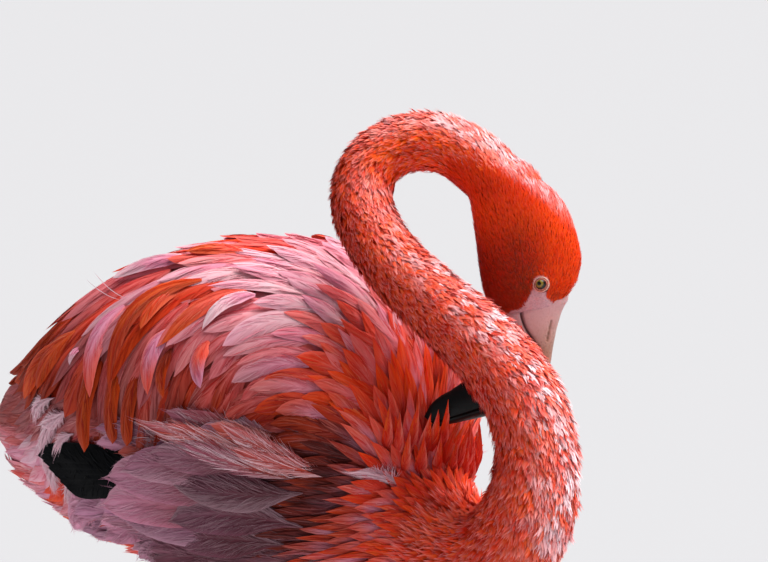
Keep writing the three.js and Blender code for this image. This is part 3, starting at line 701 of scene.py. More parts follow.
def plus(tree, a, b):
    return maths(tree, "ADD", a, b)

def ranged(tree, value, low, high, to_low=0.0, to_high=1.0):
    """A value taken smoothly from one range to another."""
    inputs = {"Value": value, "From Min": low, "From Max": high, "To Min": to_low, "To Max": to_high}
    made = node(tree, "ShaderNodeMapRange", inputs, interpolation_type="SMOOTHSTEP")
    return made.outputs["Result"]

def attribute(tree, name, output="Fac"):
    return node(tree, "ShaderNodeAttribute", attribute_name=name).outputs[output]

def noise_at(tree, vector, scale, detail=3.0, rough=0.55):
    """Noise over a vector, about 0.5."""
    inputs = {"Vector": vector, "Scale": scale, "Detail": detail, "Roughness": rough}
    return node(tree, "ShaderNodeTexNoise", inputs).outputs["Fac"]

def grey(value):
    return (value, value, value, 1)

def tinted(tree, colour, tint, factor):
    """A colour multiplied by a tint, by a factor."""
    return blended(tree, colour, tint, factor, "MULTIPLY")

def placed(tree):
    """Places in the object's own space."""
    return node(tree, "ShaderNodeTexCoord").outputs["Object"]

def ramp(tree, place, stops):
    """The colour at a place along stops of places and colours."""
    made = node(tree, "ShaderNodeValToRGB", {"Fac": place})
    elements = made.color_ramp.elements
    for i, (where, colour) in enumerate(stops):
        stop = elements[i] if i < 2 else elements.new(where)
        stop.position, stop.color = where, (*colour, 1)
    return made.outputs["Color"]

def connect(tree, principled, colour, height=None, strength=0.0, distance=0.0005, roughness=None):
    """Links a colour, a bump and a roughness to the shader."""
    tree.links.new(colour, principled.inputs["Base Color"])
    if height is not None:
        lump = node(tree, "ShaderNodeBump", {"Height": height, "Strength": strength, "Distance": distance})
        tree.links.new(lump.outputs[0], principled.inputs["Normal"])
    if roughness is not None:
        tree.links.new(roughness, principled.inputs["Roughness"])

def plume_material(name, contrast, paler, shaft, bump=0.22, **shader):
    """Vanes: fine barbs that run out from the shaft, a paler shaft, and uneven colour."""
    made, tree, principled = material(name, **shader)
    uv = node(tree, "ShaderNodeUVMap", uv_map="Barbs").outputs["UV"]
    split = node(tree, "ShaderNodeSeparateXYZ", {0: uv})
    own = attribute(tree, "Own")

    def barbs(fine, coarse):
        vector = node(tree, "ShaderNodeCombineXYZ", {
            "X": times(tree, split.outputs["X"], fine), "Y": times(tree, split.outputs["Y"], coarse),
            "Z": times(tree, own, 37.0)}).outputs[0]
        return noise_at(tree, vector, 1.0)

    streak = plus(tree, times(tree, barbs(3.4, 0.3), 0.6), times(tree, barbs(15.0, 0.6), 0.4))
    colour = attribute(tree, "Plume", "Color")
    dark = tinted(tree, colour, blended(tree, colour, grey(0.8), 0.35), contrast)
    light = blended(tree, colour, grey(1.0), paler)
    colour = blended(tree, dark, light, ranged(tree, streak, 0.32, 0.68))
    line = times(tree, ranged(tree, attribute(tree, "Across"), 0.07, 0.02), shaft)
    colour = blended(tree, colour, blended(tree, colour, grey(1.0), 0.3), line)
    roughness = ranged(tree, streak, 0.3, 0.7, 0.42, 0.62)
    connect(tree, principled, colour, plus(tree, streak, line), bump, 0.0006, roughness)
    return made

def tuft_material(name, root, tip, **shader):
    """Tufts: darker at the root, as painted shade, and paler towards the tip on some, partly pale tips and
    partly painted highlight.
    """
    made, tree, principled = material(name, Roughness=0.6, **shader)
    colour = attribute(tree, "Plume", "Color")
    along, own = attribute(tree, "Across"), attribute(tree, "Own")
    # painted shade at the root, and with the pale tips a painted highlight
    low = blended(tree, tinted(tree, colour, grey(root), 1.0), colour, ranged(tree, along, 0.0, 0.6))
    light = blended(tree, colour, (*BLUSH, 1), tip)
    connect(tree, principled, blended(tree, low, light, times(tree, ranged(tree, along, 0.45, 1.0), own)))
    return made

def skin_material():
    """Bare skin with fine grain and folds, worn paler in places."""
    made, tree, principled = material("bird_skin", Roughness=0.55, Specular_IOR_Level=0.35,
                                      Subsurface_Weight=0.12, Subsurface_Scale=0.004)
    place = placed(tree)
    grain = noise_at(tree, place, 900.0, 4.0)
    waves = {"Vector": place, "Scale": 260.0, "Distortion": 6.0, "Detail": 3.0}
    fold = node(tree, "ShaderNodeTexWave", waves, bands_direction="Z").outputs["Fac"]
    colour = tinted(tree, attribute(tree, "Plume", "Color"), grey(0.8), ranged(tree, grain, 0.4, 0.7))
    connect(tree, principled, colour, plus(tree, grain, times(tree, fold, 0.5)), 0.35)
    return made

vane_finish = plume_material("plumage_vanes", 0.7, 0.008, 0.1, Specular_IOR_Level=0.07)
plume_finish = plume_material("soft_plumes", 0.3, 0.012, 0.12, 0.12, Specular_IOR_Level=0.07)
black_finish = plume_material("flight_feather_black", 0.35, 0.001, 0.006, 0.2, Specular_IOR_Level=0.02)
neck_finish = tuft_material("neck_tufts", 0.92, 0.32, Specular_IOR_Level=0.1)
head_finish = tuft_material("head_tufts", 0.9, 0.05, Specular_IOR_Level=0.08)

# ------------------------------------------------------------------ unwraps of the skin, for OFBake
# Each takes points to places on a map from 0 to 1: one way along the part, the other way round it.
def unwrap_body(p):
    around = np.arctan2(p[:, 0], p[:, 2] - 680) / (2 * np.pi) + 0.5
    return np.stack([(p[:, 1] + 190) / 490, around], 1)

def unwrap_neck(p):
    index, _ = neck_place(p)
    along, facing = neck_along[index], np.array([-1.0, -1.0, 0.0])
    side = unit(facing - along * dot(along, facing))
    over = np.cross(along, side)
    out = p - neck_points[index]
    length = neck_share[index] + 0.02 * (out * along).sum(1) / neck_radii[index]
    return np.stack([length, np.arctan2((out * over).sum(1), (out * side).sum(1)) / (2 * np.pi) + 0.5], 1)

def unwrap_head(p):
    q = to_head(p)
    return np.stack([(q[:, 1] + 35) / 130, np.arctan2(q[:, 2], q[:, 0] + 8) / (2 * np.pi) + 0.5], 1)

def unwrap_thigh(p):
    around = np.arctan2(np.abs(p[:, 0]) - 42, p[:, 1] - 20) / (4 * np.pi) + 0.25
    return np.stack([(p[:, 2] - 470) / 140, around + 0.5 * (p[:, 0] > 0)], 1)

# ------------------------------------------------------------------ pieces and coats
PATCH = 0.0015  # half the size of a feather's patch on the OFBake map
EDGE = 0.004  # what the patches keep free at the map's border

def piece(obj, finish, slot, *replaces):
    """Gives an object its material, and hides the CAD nodes that it stands for; slot is not used."""
    obj.data.materials.append(finish)
    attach(obj, "root")
    if replaces:
        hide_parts(*replaces)

class Coat:
    """Feathers gathered into one object."""

    def __init__(self, name, unwrap, finish):
        self.name, self.unwrap, self.finish, self.parts, self.count = name, unwrap, finish, [], 0

    def add(self, roots, verts, tris, colour, own, across, barbs, patch, facing=0.0):
        """verts (feathers, points, 3) with per-point values of the same shape, tris for one feather."""
        feathers, points = verts.shape[:2]
        start = self.count + np.arange(feathers)[:, None, None] * points
        centre = EDGE + (1 - 2 * EDGE) * np.clip(self.unwrap(roots), 0, 1)
        place = centre[:, None] + PATCH * patch

        def flat(values, size):
            shape = (feathers, points, size) if size > 1 else (feathers, points)
            return np.broadcast_to(values, shape).reshape(-1, size)

        tris = (tris[None] + start).reshape(-1, 3)
        self.parts.append((flat(facing, 3), verts.reshape(-1, 3), tris, flat(colour, 3),
                           flat(own[:, None], 1), flat(across, 1), flat(barbs, 2), place.reshape(-1, 2)))
        self.count += feathers * points

    def build(self, slot="plumage", *replaces):
        """Makes the object, gives it its material and hides the nodes it stands for."""
        facing, verts, tris, colour, own, across, barbs, place = (np.concatenate(c) for c in zip(*self.parts))
        obj = new_mesh(self.name, verts, tris, {"Own": own, "Across": across}, {"Plume": colour},
                       {"Barbs": barbs, "OFBake": place})
        if facing.any():
            obj.data.normals_split_custom_set_from_vertices(facing.tolist())
        print(self.name, len(tris))
        piece(obj, self.finish, slot, *replaces)

# ------------------------------------------------------------------ feathers
ACROSS = np.array([-1, -0.5, 0, 0.5, 1.0])  # the points of each row of a vane
STRAND_STEPS = np.array([0, 0.35, 0.7, 1.0])  # a strand has two points at each step, and one at its tip
STRAND_POINTS = 2 * len(STRAND_STEPS) - 1
STRAND_WIDTHS = np.array([0.5, 1.0, 0.75])[:, None]
STRAND_TRIS = np.array([[0, 1, 3], [0, 3, 2], [2, 3, 5], [2, 5, 4], [4, 5, 6]])

class Vanes:
    """What many feathers share: their shafts, outlines and colours."""

    def __init__(self, roots, places, normals, width, shape, base, tip, margin, camber=0.22, roll=0.12,
                 blend=(0.2, 0.8), bend=0.05):
        count, rows = places.shape[:2]
        self.roots, self.width, self.profile, self.camber = roots, width, profile(rows, shape), camber
        self.base, self.tip, self.margin, self.blend = base, tip, margin, blend
        self.count, self.v = count, np.linspace(0, 1, rows)
        self.length = np.linalg.norm(np.diff(places, axis=1), axis=2).sum(1)
        along = unit(np.gradient(places, axis=1))
        side = unit(np.cross(along, normals))
        swing = rng.uniform(-bend, bend, (count, 1, 1)) * (self.length[:, None] * self.v ** 2)[..., None]
        places = places + side * swing
        self.side = unit(side + normals * rng.uniform(-roll, roll, (count, 1, 1)))
        self.up = unit(normals - self.side * dot(normals, self.side))
        self.places, self.along = places, unit(np.gradient(places, axis=1))
        # painted light: the paler margin is mostly on the same side, to round each vane
        self.lit_margin_side = np.where(rng.random(count) < 0.75, 1.0, -1.0)
        self.shift = rng.uniform(-0.15, 0.15, count)
        self.own = rng.random(count)

    def at(self, v, u, lift=0.0):
        """Places at v along the shaft and u across it, both (feathers, n), and the way up there."""
        x = np.clip(v, 0, 0.9999) * (len(self.v) - 1)
        i = x.astype(int)
        f = (x - i)[..., None]

        def take(m):
            low, high = np.take_along_axis(m, i[..., None], 1), np.take_along_axis(m, i[..., None] + 1, 1)
            return low * (1 - f) + high * f

        half = self.width[:, None] * np.interp(v, self.v, self.profile)
        past = np.maximum(v - 1, 0) * self.length[:, None]
        p = take(self.places) + take(self.along) * past[..., None] + take(self.side) * (u * half)[..., None]
        up = take(self.up)
        return p + up * (lift - self.camber * half * u * u)[..., None], up

    def colours(self, v, u):
        """Colours at v and u, from base to tip, with one margin paler: pale edges, kept mostly on one side as
        painted light that rounds the vane.
        """
        turn = ease(self.blend[0], self.blend[1], v + self.shift[:, None] + 0.12 * (np.abs(u) - 0.5))
        colour = mix(self.base[:, None], self.tip[:, None], turn)
        edge = ease(0.1, 1.0, u * self.lit_margin_side[:, None])
        return mix(colour, self.margin[:, None], 0.75 * edge)

    def barbs(self, v, u):
        """Places on the map of the barbs, which slant out from the shaft."""
        reach = self.width[:, None] * np.abs(u)
        return np.stack([(0.36 * v * self.length[:, None] - 0.93 * reach) / 10, reach / 10], -1)

def add_vanes(coat, vanes):
    """The vanes themselves, as smooth thin blades."""
    rows, points = len(vanes.v), len(ACROSS)
    v = np.tile(np.repeat(vanes.v, points), (vanes.count, 1))
    u = np.tile(ACROSS, (vanes.count, rows))
    verts, _ = vanes.at(v, u)
    coat.add(vanes.roots, verts, grid_tris(rows, points), vanes.colours(v, u), vanes.own, np.abs(u),
             vanes.barbs(v, u), np.stack([u, 2 * v - 1], -1))

def add_strands(coat, vanes, count, gauge, span=(0.26, 0.42), reach=(0.45, 1.06), first=-0.02, last=0.72,
                lift=(0.1, 0.45), curl=0.3, fair=0.06, vary=(0.75, 1.55)):
    """Barbs gathered in narrow strands, which run out from the shaft at a low angle to the margin."""
    n, steps = vanes.count, len(STRAND_STEPS)
    start = first + (last - first) * (np.arange(count) + rng.random((n, count))) / count
    sign = np.where(rng.random((n, count)) < 0.5, -1.0, 1.0)
    span = rng.uniform(*span, (n, count))
    inner, outer = rng.uniform(0, 0.55, (n, count)), rng.uniform(*reach, (n, count))
    outer = np.maximum(outer, inner + 0.12)
    rise, tip_rise = rng.uniform(*lift, (n, count)), rng.normal(0, curl, (n, count))
    t = STRAND_STEPS[None, None]
    v = start[..., None] + span[..., None] * t
    u = sign[..., None] * (inner[..., None] + (outer - inner)[..., None] * t ** 1.3)
    up_by = rise[..., None] + (tip_rise[..., None] * t * t)
    p, up = (a.reshape(n, count, steps, 3) for a in vanes.at(*(b.reshape(n, -1) for b in (v, u, up_by))))
    across = unit(np.cross(up, unit(np.gradient(p, axis=2))) + up * rng.uniform(-0.3, 0.3, (n, count, 1, 1)))
    half = gauge * rng.uniform(0.6, 1.3, (n, count, 1, 1)) * STRAND_WIDTHS
    edges = [p[:, :, :3] + across[:, :, :3] * half * side for side in (-1, 1)]
    verts = np.concatenate([np.stack(edges, 3).reshape(n, count, 6, 3), p[:, :, 3:]], 2)

    def by_vertex(a):
        return np.concatenate([np.repeat(a[..., :3], 2, -1), a[..., 3:]], -1).reshape(n, -1)

    v, u = by_vertex(v), by_vertex(u)
    power = rng.uniform(*vary, (n, count)).repeat(STRAND_POINTS, 1)[..., None]
    colour = np.clip(vanes.colours(v, u), 0, 1) ** power
    colour = mix(colour, BLUSH, (fair * rng.random((n, count)) ** 2).repeat(STRAND_POINTS, 1))
    tris = (STRAND_TRIS[None] + STRAND_POINTS * np.arange(count)[:, None, None]).reshape(-1, 3)
    number = np.arange(STRAND_POINTS * count)
    ribs = np.tile(0.7 * (number // STRAND_POINTS) + 0.06 * (number % 2), (n, 1))
    coat.add(vanes.roots, verts.reshape(n, -1, 3), tris, colour, vanes.own, np.full_like(u, 0.3),
             np.stack([ribs, v * vanes.length[:, None] / 10], -1),
             np.stack([np.clip(u / 1.6, -1, 1), np.clip(2 * v - 1, -1, 1)], -1))

def add_feathers(coat, vanes, strands, gauge, **more):
    """Vanes, and that many strands on each."""
    add_vanes(coat, vanes)
    if strands:
        add_strands(coat, vanes, strands, gauge, **more)

def laid(roots, tri, lengths, rows, lie, low, high, power=0.8):
    """Traced lines raised over the skin, from a low height at the root to a high one at the tip."""
    places, normals = trace(roots, tri, lengths, rows - 1, lie)
    low, high = (np.broadcast_to(a, len(roots))[:, None] for a in (low, high))
    rise = low + (high - low) * np.linspace(0, 1, rows) ** power
    return places + normals * rise[..., None], normals

OUTLINES = {  # where a vane starts to widen, is at its widest and starts to narrow, and how round its tip is
    "spear": (-0.15, 0.3, 0.0, 1.7, 1.15), "long": (-0.12, 0.3, 0.4, 2.2, 0.7),
    "plume": (-0.05, 0.45, 0.5, 2.2, 0.7), "blunt": (-0.2, 0.25, 0.7, 2.4, 0.5)}

def profile(rows, shape):
    """Half widths of a vane from root to tip, as shares of its greatest one."""
    v = np.linspace(0, 1, rows)
    if shape == "pointed":
        w = np.sin(np.pi * v ** 0.78) ** 0.8
    else:
        start, full, narrowing, power, round_off = OUTLINES[shape]
        fall = np.clip((v - narrowing) / (1 - narrowing), 0, 1)
        w = ease(start, full, v) * (1 - fall ** power) ** round_off
    return np.maximum(w, 0.03)

def soft_facing(verts, n):
    """Normals of thin blades: mostly those of the skin beneath, so that they shade as one soft coat."""
    own = unit(np.cross(verts[:, 1] - verts[:, 0], verts[:, -1] - verts[:, 0]))
    own = own * np.sign(dot(own, n))
    return np.repeat(unit(own * 0.6 + n * 0.4)[:, None], verts.shape[1], 1)

BLADE_TRIS = np.array([[0, 1, 3], [0, 3, 2], [2, 3, 4]])
BLADE_ALONG = np.array([0, 0, 0.5, 0.5, 1.0])
BLADE_PATCH = np.array([[-1, -1], [1, -1], [-1, 0], [1, 0], [0, 1.0]])

def add_tufts(coat, roots, tri, length, width, rise, colour, blades, gather, fan, tones=(0.85, 1.2)):
    """Small tufts: blades of three rows that start round a root and draw together at the tips."""
    count = len(roots)
    n = unit(skin.value(soft_normals, roots, tri))
    d = skin.value(body_lie, roots, tri)
    d = unit(d + unit(np.cross(d, n)) * rng.uniform(-fan, fan, (count, 1)) * 0.5)
    d = unit(d - n * dot(d, n))
    side = np.cross(d, n)
    kick = rng.uniform(0.75, 1.25, (count, 1))
    tips = roots + d * length[:, None] * kick + n * (rise[:, None] * rng.uniform(0.75, 1.2, (count, 1)))
    for _ in range(blades):
        off = rng.uniform(-1, 1, (count, 2))
        start = roots + side * off[:, :1] * width[:, None] * 1.5 + d * off[:, 1:] * width[:, None] * 1.2
        stray = sum(axis * rng.normal(0, 1, (count, 1)) for axis in (side, d, 0.5 * n))
        end = tips + (start - roots) * (1 - gather) + stray * width[:, None] * 0.55
        middle = start * 0.55 + end * 0.45 + n * (rise[:, None] * 0.24)
        half = (width * rng.uniform(0.35, 0.6, count))[:, None]
        s = unit(np.cross(end - start, n)) * half
        verts = np.stack([start - s * 0.8, start + s * 0.8, middle - s, middle + s, end], 1)
        tone = np.clip(colour, 0, 1) ** rng.uniform(*tones, (count, 1))
        coat.add(roots, verts, BLADE_TRIS, tone[:, None], rng.random(count), BLADE_ALONG, np.zeros(2),
                 BLADE_PATCH, soft_facing(verts, n))

# ------------------------------------------------------------------ skin piece
eye_q = to_head(skin_verts)
eye_gap = np.hypot(eye_q[:, 0], eye_q[:, 1])
socket = ease(EYE_OPENING + 1.6, EYE_OPENING - 0.4, eye_gap) * (np.abs(eye_q[:, 2]) > 8) * (head_on > 0.5)
skin_shown = skin_verts - skin.normals * (2.5 * socket)[:, None]
skin_shown += skin.normals * ((noise(skin_verts, 2.4, 21) - 0.5) * 0.35 * ease(-1, 1, bare_in))[:, None]
skin_finish = skin_material()
skin_object = new_mesh("skin", skin_shown, skin_tris, colour={"Plume": skin_shades(skin_verts)})
piece(skin_object, skin_finish, "plumage", *FLESH)

# ------------------------------------------------------------------ bill
NOSTRIL = np.array([(7.0, -24.5), (4.4, -37.0)])  # the slit's ends, in the head's u and v
BILL_ARCH, BILL_FLAT = 49, 15  # points round the outside of each half, and across its inner face

def nostril(q):
    """The slit, and the raised lip round it, over points of the upper bill."""
    line, off = NOSTRIL[1] - NOSTRIL[0], q[:, :2] - NOSTRIL[0]
    share = np.clip((off @ line) / (line @ line), 0, 1)
    gap = np.linalg.norm(off - share[:, None] * line, axis=1)
    outside = np.abs(q[:, 2]) > 4
    return ease(0.9, 0.3, gap) * outside, ease(2.0, 0.9, gap) * outside

def bill_half(name, upper):
    """One half of the bill, from the gape line to its ridge."""
    s = catmull(BILL_SLICES, 14)
    t = np.linspace(0, 1, len(s))
    edge, gape = (s[:, 0:2] if upper else s[:, 4:6]), s[:, 2:4]
    middle = ((s[:, 0:2] + s[:, 4:6]) / 2)[:, None]
    arch, flat = np.linspace(0, np.pi, BILL_ARCH), np.linspace(-1, 1, BILL_FLAT)[1:-1]
    rise = np.concatenate([np.sin(arch) ** 0.92, 0 * flat])
    width = np.concatenate([np.cos(arch), flat])
    low = -0.15 / np.linalg.norm(edge - gape, axis=1)[:, None] + 0.10 * (rise <= 0) * (1 - width ** 2)
    share = low + (1 - low) * rise
    drawn_in = 1 - 0.09 * ease(0.05, 0.0, t)[:, None]  # the root, under the skin of the face
    uv = gape[:, None] + (edge - gape)[:, None] * share[..., None]
    uv = middle + (uv - middle) * drawn_in[..., None]
    up = np.clip(share, 0, 1)
    w = s[:, 6:7] * width * (1 - 0.10 * up ** 2) * (1 if upper else 0.93) * drawn_in
    w = w * (1 - 0.09 * ease(0.09, 0.0, up))
    rings = np.concatenate([uv, w[..., None]], -1)

    rows, count = rings.shape[:2]
    ends = rings[[0, -1]].mean(1)
    ends[1, :2] += 0.6 * (s[-1, :2] - s[-2, :2])
    q = np.concatenate([rings.reshape(-1, 3), ends])
    ring = np.arange(count)
    after = np.roll(ring, -1)
    last, first = (rows - 1) * count, rows * count  # the outermost ring, and the centre of the innermost
    root_cap = np.stack([ring * 0 + first, after, ring], 1)
    end_cap = np.stack([ring + last, after + last, ring * 0 + first + 1], 1)
    tris = np.concatenate([grid_tris(rows, count, closed=True), root_cap, end_cap])
    verts = from_head(q)
    centres = np.concatenate([rings.mean(1).repeat(count, 0), ends])
    tris = outward(verts, tris, from_head(centres))
    n = normals_of(verts, tris)
    slit, lip = nostril(q) if upper else (np.zeros(len(q)),) * 2
    ripple = 0.12 * (noise(q * [1, 1, 0.6], 2.2, 31) - 0.5) + 0.10 * (noise(q, 0.9, 32) - 0.5)
    verts = verts + n * (0.15 * lip - 0.8 * slit + ripple)[:, None]
    along = np.concatenate([np.repeat(t, count), [0, 1]])
    # painted shade: dark along the gape and over the inner faces, for the gap between the halves
    rim = ease(0.07, 0.01, np.concatenate([np.tile(rise, rows), [1, 1]]))
    return new_mesh(name, verts, tris, {"Along": along, "Slit": slit, "Rim": rim})

HORN = [  # colours from base to tip
    (0.0, rgb(212, 166, 170)), (0.14, rgb(196, 148, 145)), (0.3, rgb(158, 114, 98)),
    (0.44, rgb(180, 104, 84)), (0.485, rgb(44, 20, 18)), (0.51, rgb(6, 5, 6)), (1.0, rgb(5, 4, 5))]

def wavered(tree, value, grain, amount):
    """A value moved up and down by noise."""
    return plus(tree, value, times(tree, maths(tree, "SUBTRACT", grain, 0.5), amount))

def bill_material():
    """Horn: pink at the base, black beyond the bend, mottled between."""
    made, tree, principled = material("bill_horn", Specular_IOR_Level=0.2, Coat_Weight=0.05,
                                      Coat_Roughness=0.3, Subsurface_Weight=0.1, Subsurface_Scale=0.003)
    place = placed(tree)
    sizes = ((120.0,), (900.0, 4.0), (420.0, 5.0, 0.65))
    broad, fine, spots = (noise_at(tree, place, *size) for size in sizes)
    along = wavered(tree, attribute(tree, "Along"), broad, 0.035)
    mottle = times(tree, ranged(tree, spots, 0.5, 0.68), ranged(tree, along, 0.1, 0.3))
    colour = ramp(tree, along, HORN)
    colour = tinted(tree, colour, (*rgb(200, 150, 140), 1), times(tree, ranged(tree, fine, 0.45, 0.75), 0.22))
    colour = tinted(tree, colour, (*rgb(122, 84, 50), 1), times(tree, mottle, 0.6))
    # painted shade in the nostril's slit and along the gape
    for name, tone, share in (("Slit", rgb(96, 60, 40), 0.75), ("Rim", rgb(22, 8, 8), 0.95)):
        colour = blended(tree, colour, (*tone, 1), times(tree, attribute(tree, name), share))
    connect(tree, principled, colour, plus(tree, broad, times(tree, fine, 0.5)), 0.25,
           roughness=ranged(tree, fine, 0.3, 0.7, 0.34, 0.5))
    return made

bill_finish = bill_material()
piece(bill_half("upper_bill", True), bill_finish, "bill", "bill_upper")
piece(bill_half("lower_bill", False), bill_finish, "bill", "bill_lower")

# ------------------------------------------------------------------ eyes and lids
GAZE = unit(np.array([-0.20, 0.13, 1.0]))  # where the right eye looks, in the head's axes

def eyeball(side, sign):
    """A ball with a bulging cornea, turned to its gaze."""
    polar, around = np.linspace(0, np.pi, 65), np.linspace(0, 2 * np.pi, 96, endpoint=False)
    axis = GAZE * [1, 1, -sign]
    first = unit(np.cross(axis, [0, 1.0, 0]))
    second = np.cross(axis, first)
    ball = (np.cos(polar)[:, None, None] * axis + np.sin(polar)[:, None, None]
            * (np.cos(around)[:, None] * first + np.sin(around)[:, None] * second))
    bulge = 1 + 0.07 * ease(0.62, 0.2, polar)
    centre = np.array([0, 0, -sign * EYE_OUT])
    verts = from_head((ball * bulge[:, None, None] * EYE_RADIUS).reshape(-1, 3) + centre)
    tris = outward(verts, grid_tris(65, 96, closed=True), from_head(centre))
    return new_mesh(f"{side}_eye", verts, tris, {"Off": np.repeat(polar, 96)})

IRIS = [(0.0, rgb(5, 4, 4)), (0.15, rgb(5, 4, 4)), (0.175, rgb(60, 46, 12)), (0.24, rgb(150, 130, 36)),
        (0.37, rgb(128, 108, 30)), (0.45, rgb(66, 52, 16)), (0.50, rgb(12, 9, 8)), (1.0, rgb(12, 8, 7))]

def eye_material():
    """Pupil, iris and rim by the angle from the gaze, under a wet coat."""
    made, tree, principled = material("eye_wet", Roughness=0.3, Coat_Weight=0.45, Coat_Roughness=0.04,
                                      Specular_IOR_Level=0.3)
    grain = noise_at(tree, placed(tree), 2200.0, 4.0)
    colour = ramp(tree, wavered(tree, attribute(tree, "Off"), grain, 0.05), IRIS)
    connect(tree, principled, tinted(tree, colour, grey(0.6), ranged(tree, grain, 0.42, 0.62)))
    return made

LID_WIDTH = 2.3  # of the bare ring, from just inside the eye's opening

def lid_ring(side, sign):
    """The bare ring round an eye: a rounded rim, a groove and a second, lower fold."""
    around = np.linspace(0, 2 * np.pi, 128, endpoint=False)
    x = np.linspace(-0.35, LID_WIDTH, 30)[:, None] + 0 * around  # outward from the eye's opening
    r = (x + EYE_OPENING) * (1 + 0.05 * np.cos(2 * (around - 0.5)))
    u, v = r * np.cos(around), r * np.sin(around)
    out = HEAD_AXES[2] * -sign
    above = from_head(np.stack([u, v, np.full_like(u, -sign * 40.0)], -1).reshape(-1, 3))
    hits = [skin.tree.ray_cast(Vector(p), Vector(-out))[0] for p in above.tolist()]
    ground = (to_head(np.array([hit[:] for hit in hits])) @ [0, 0, -sign]).reshape(u.shape)
    ground = mix(ground[-1].mean(), ground[-4:].mean(0), ease(0, 2.2, x))
    ball = EYE_OUT + np.sqrt(np.maximum(EYE_RADIUS ** 2 - r ** 2, 0))
    circle = np.stack([6 * np.cos(around), 6 * np.sin(around), 0 * around], 1)
    fold = noise(circle, 1.1, 41)
    rim = 0.6 * np.exp(-((x - 0.4) / 0.36) ** 2) + 0.7 * np.exp(-((x - 1.5) / 0.34) ** 2)
    rim = rim * (0.8 + 0.4 * fold)
    base = np.maximum(ground, 0) - 0.55 * ease(1.6, LID_WIDTH, x)
    level = ball * ease(0.35, -0.35, x) + np.maximum(base, ball + 0.2) * ease(-0.35, 0.35, x)
    w = level + rim * ease(-0.45, 0.2, x) - 0.9 * ease(-0.15, -0.35, x)
    wrinkle = 0.10 * (noise(np.stack([u, v, w], -1).reshape(-1, 3), 0.55, 42).reshape(u.shape) - 0.5)
    verts = from_head(np.stack([u, v, -sign * (w + wrinkle)], -1).reshape(-1, 3))
    tris = outward(verts, grid_tris(30, 128, closed=True), verts - out)
    groove = np.exp(-((x - 0.95) / 0.22) ** 2) + 0.6 * ease(1.6, 2.1, x)
    tone = mix(rgb(168, 108, 96), rgb(224, 184, 172), ease(0.9, 1.4, x))
    tone = mix(tone, SALMON, 0.2 * fold)
    tone = mix(tone, BROWN, 0.5 * np.clip(groove, 0, 1))
    tone = mix(tone, rgb(60, 24, 20), ease(-0.1, -0.32, x))
    return new_mesh(f"{side}_eyelids", verts, tris, colour={"Plume": tone.reshape(-1, 3)})

eye_finish = eye_material()
for side, sign in SIDES:
    piece(eyeball(side, sign), eye_finish, "eye", f"eye_{side}")
    piece(lid_ring(side, sign), skin_finish, "plumage")

# ------------------------------------------------------------------ legs and claws
STANCE_X, STEP = 40, 9
TOES = (("inner", 30, 64), ("middle", 2, 82), ("outer", -27, 70))  # degrees outward, and length
HEEL_Z = 322
CLAW_LENGTH, CLAW_RADIUS = 7.9, 2.05

def stance(sign):
    """Where a foot's middle stands."""
    return np.array([STANCE_X * sign, STEP * sign + SHIFT_Y, 0])

def leg_shades(p):
    """Colours of the legs: redder at the heel and the feet, and darker where the feet meet the floor, as
    painted shade.
    """
    z = p[:, 2]
    tone = mix(rgb(226, 150, 150), rgb(214, 120, 118), noise(p, 26, 51))
    tone = mix(tone, rgb(190, 84, 84), 0.55 * np.exp(-((z - HEEL_Z) / 22) ** 2) + 0.5 * ease(26, 4, z))
    tone = mix(tone, rgb(196, 150, 150), 0.5 * speckle(p, 5, 52, 0.5, 0.8))
    # painted shade where the feet touch the floor
    return mix(tone, rgb(120, 66, 66), 0.35 * ease(3, 0, z))

def leg_material():
    """Scaly skin: small cells with darker seams."""
    made, tree, principled = material("leg_skin", Specular_IOR_Level=0.4, Roughness=0.5)
    place = placed(tree)
    cells = node(tree, "ShaderNodeTexVoronoi", {"Vector": place, "Scale": 420.0}, feature="DISTANCE_TO_EDGE")
    line, grain = ranged(tree, cells.outputs["Distance"], 0.0, 0.14), noise_at(tree, place, 700.0)
    colour = attribute(tree, "Plume", "Color")
    colour = blended(tree, tinted(tree, colour, grey(0.62), 1.0), colour, line)
    colour = tinted(tree, colour, grey(0.85), ranged(tree, grain, 0.45, 0.7))
    connect(tree, principled, colour, plus(tree, line, times(tree, grain, 0.3)), 0.5, 0.0006)
    return made

def plates(distance, pitch, wave=0.0):
    """Rounded plates that follow each other along a distance."""
    return np.minimum(2.2 * np.abs(np.sin(np.pi * distance / pitch + wave)), 1)

def leg(side, sign):
    """Shank, tarsus and foot as one skin, with plates, scales and the ribs of the webs."""
    nodes = [f"{part}_{side}" for part in ("shank", "tarsus", "foot")]
    verts, tris = remeshed(*joined(nodes, 0.35), LEG_VOXEL)
    verts = relaxed(verts, tris, 3)
    n = normals_of(verts, tris)
    z = verts[:, 2]
    on_tarsus = ease(24, 40, z) * ease(312, 296, z) + ease(348, 360, z)
    relief = 0.42 * plates(z, 5.2, 0.6 * np.sin(z / 17)) * np.clip(-n[:, 1], 0, 1) * on_tarsus
    x, y, _ = (verts - stance(sign)).T
    away = np.hypot(x, y)
    on_toes = ease(22, 12, z) * ease(10, 16, away) * np.clip(n[:, 2], 0, 1)
    relief += 0.35 * plates(away, 4.4) * on_toes * ease(2.6, 4.2, z)
    ribs = np.sin(np.arctan2(x, -y) * 46 + 3 * noise(verts, 12, 54))
    relief += 0.3 * ribs * on_toes * ease(4.2, 2.6, z) * ease(12, 30, away)
    lumps = 0.25 * (noise(verts, 3.2, 53) - 0.5)
    verts = verts + n * (relief + lumps - 0.35)[:, None]
    verts[:, 2] = np.maximum(verts[:, 2], 0)
    return new_mesh(f"{side}_leg", verts, tris, colour={"Plume": leg_shades(verts)}), nodes

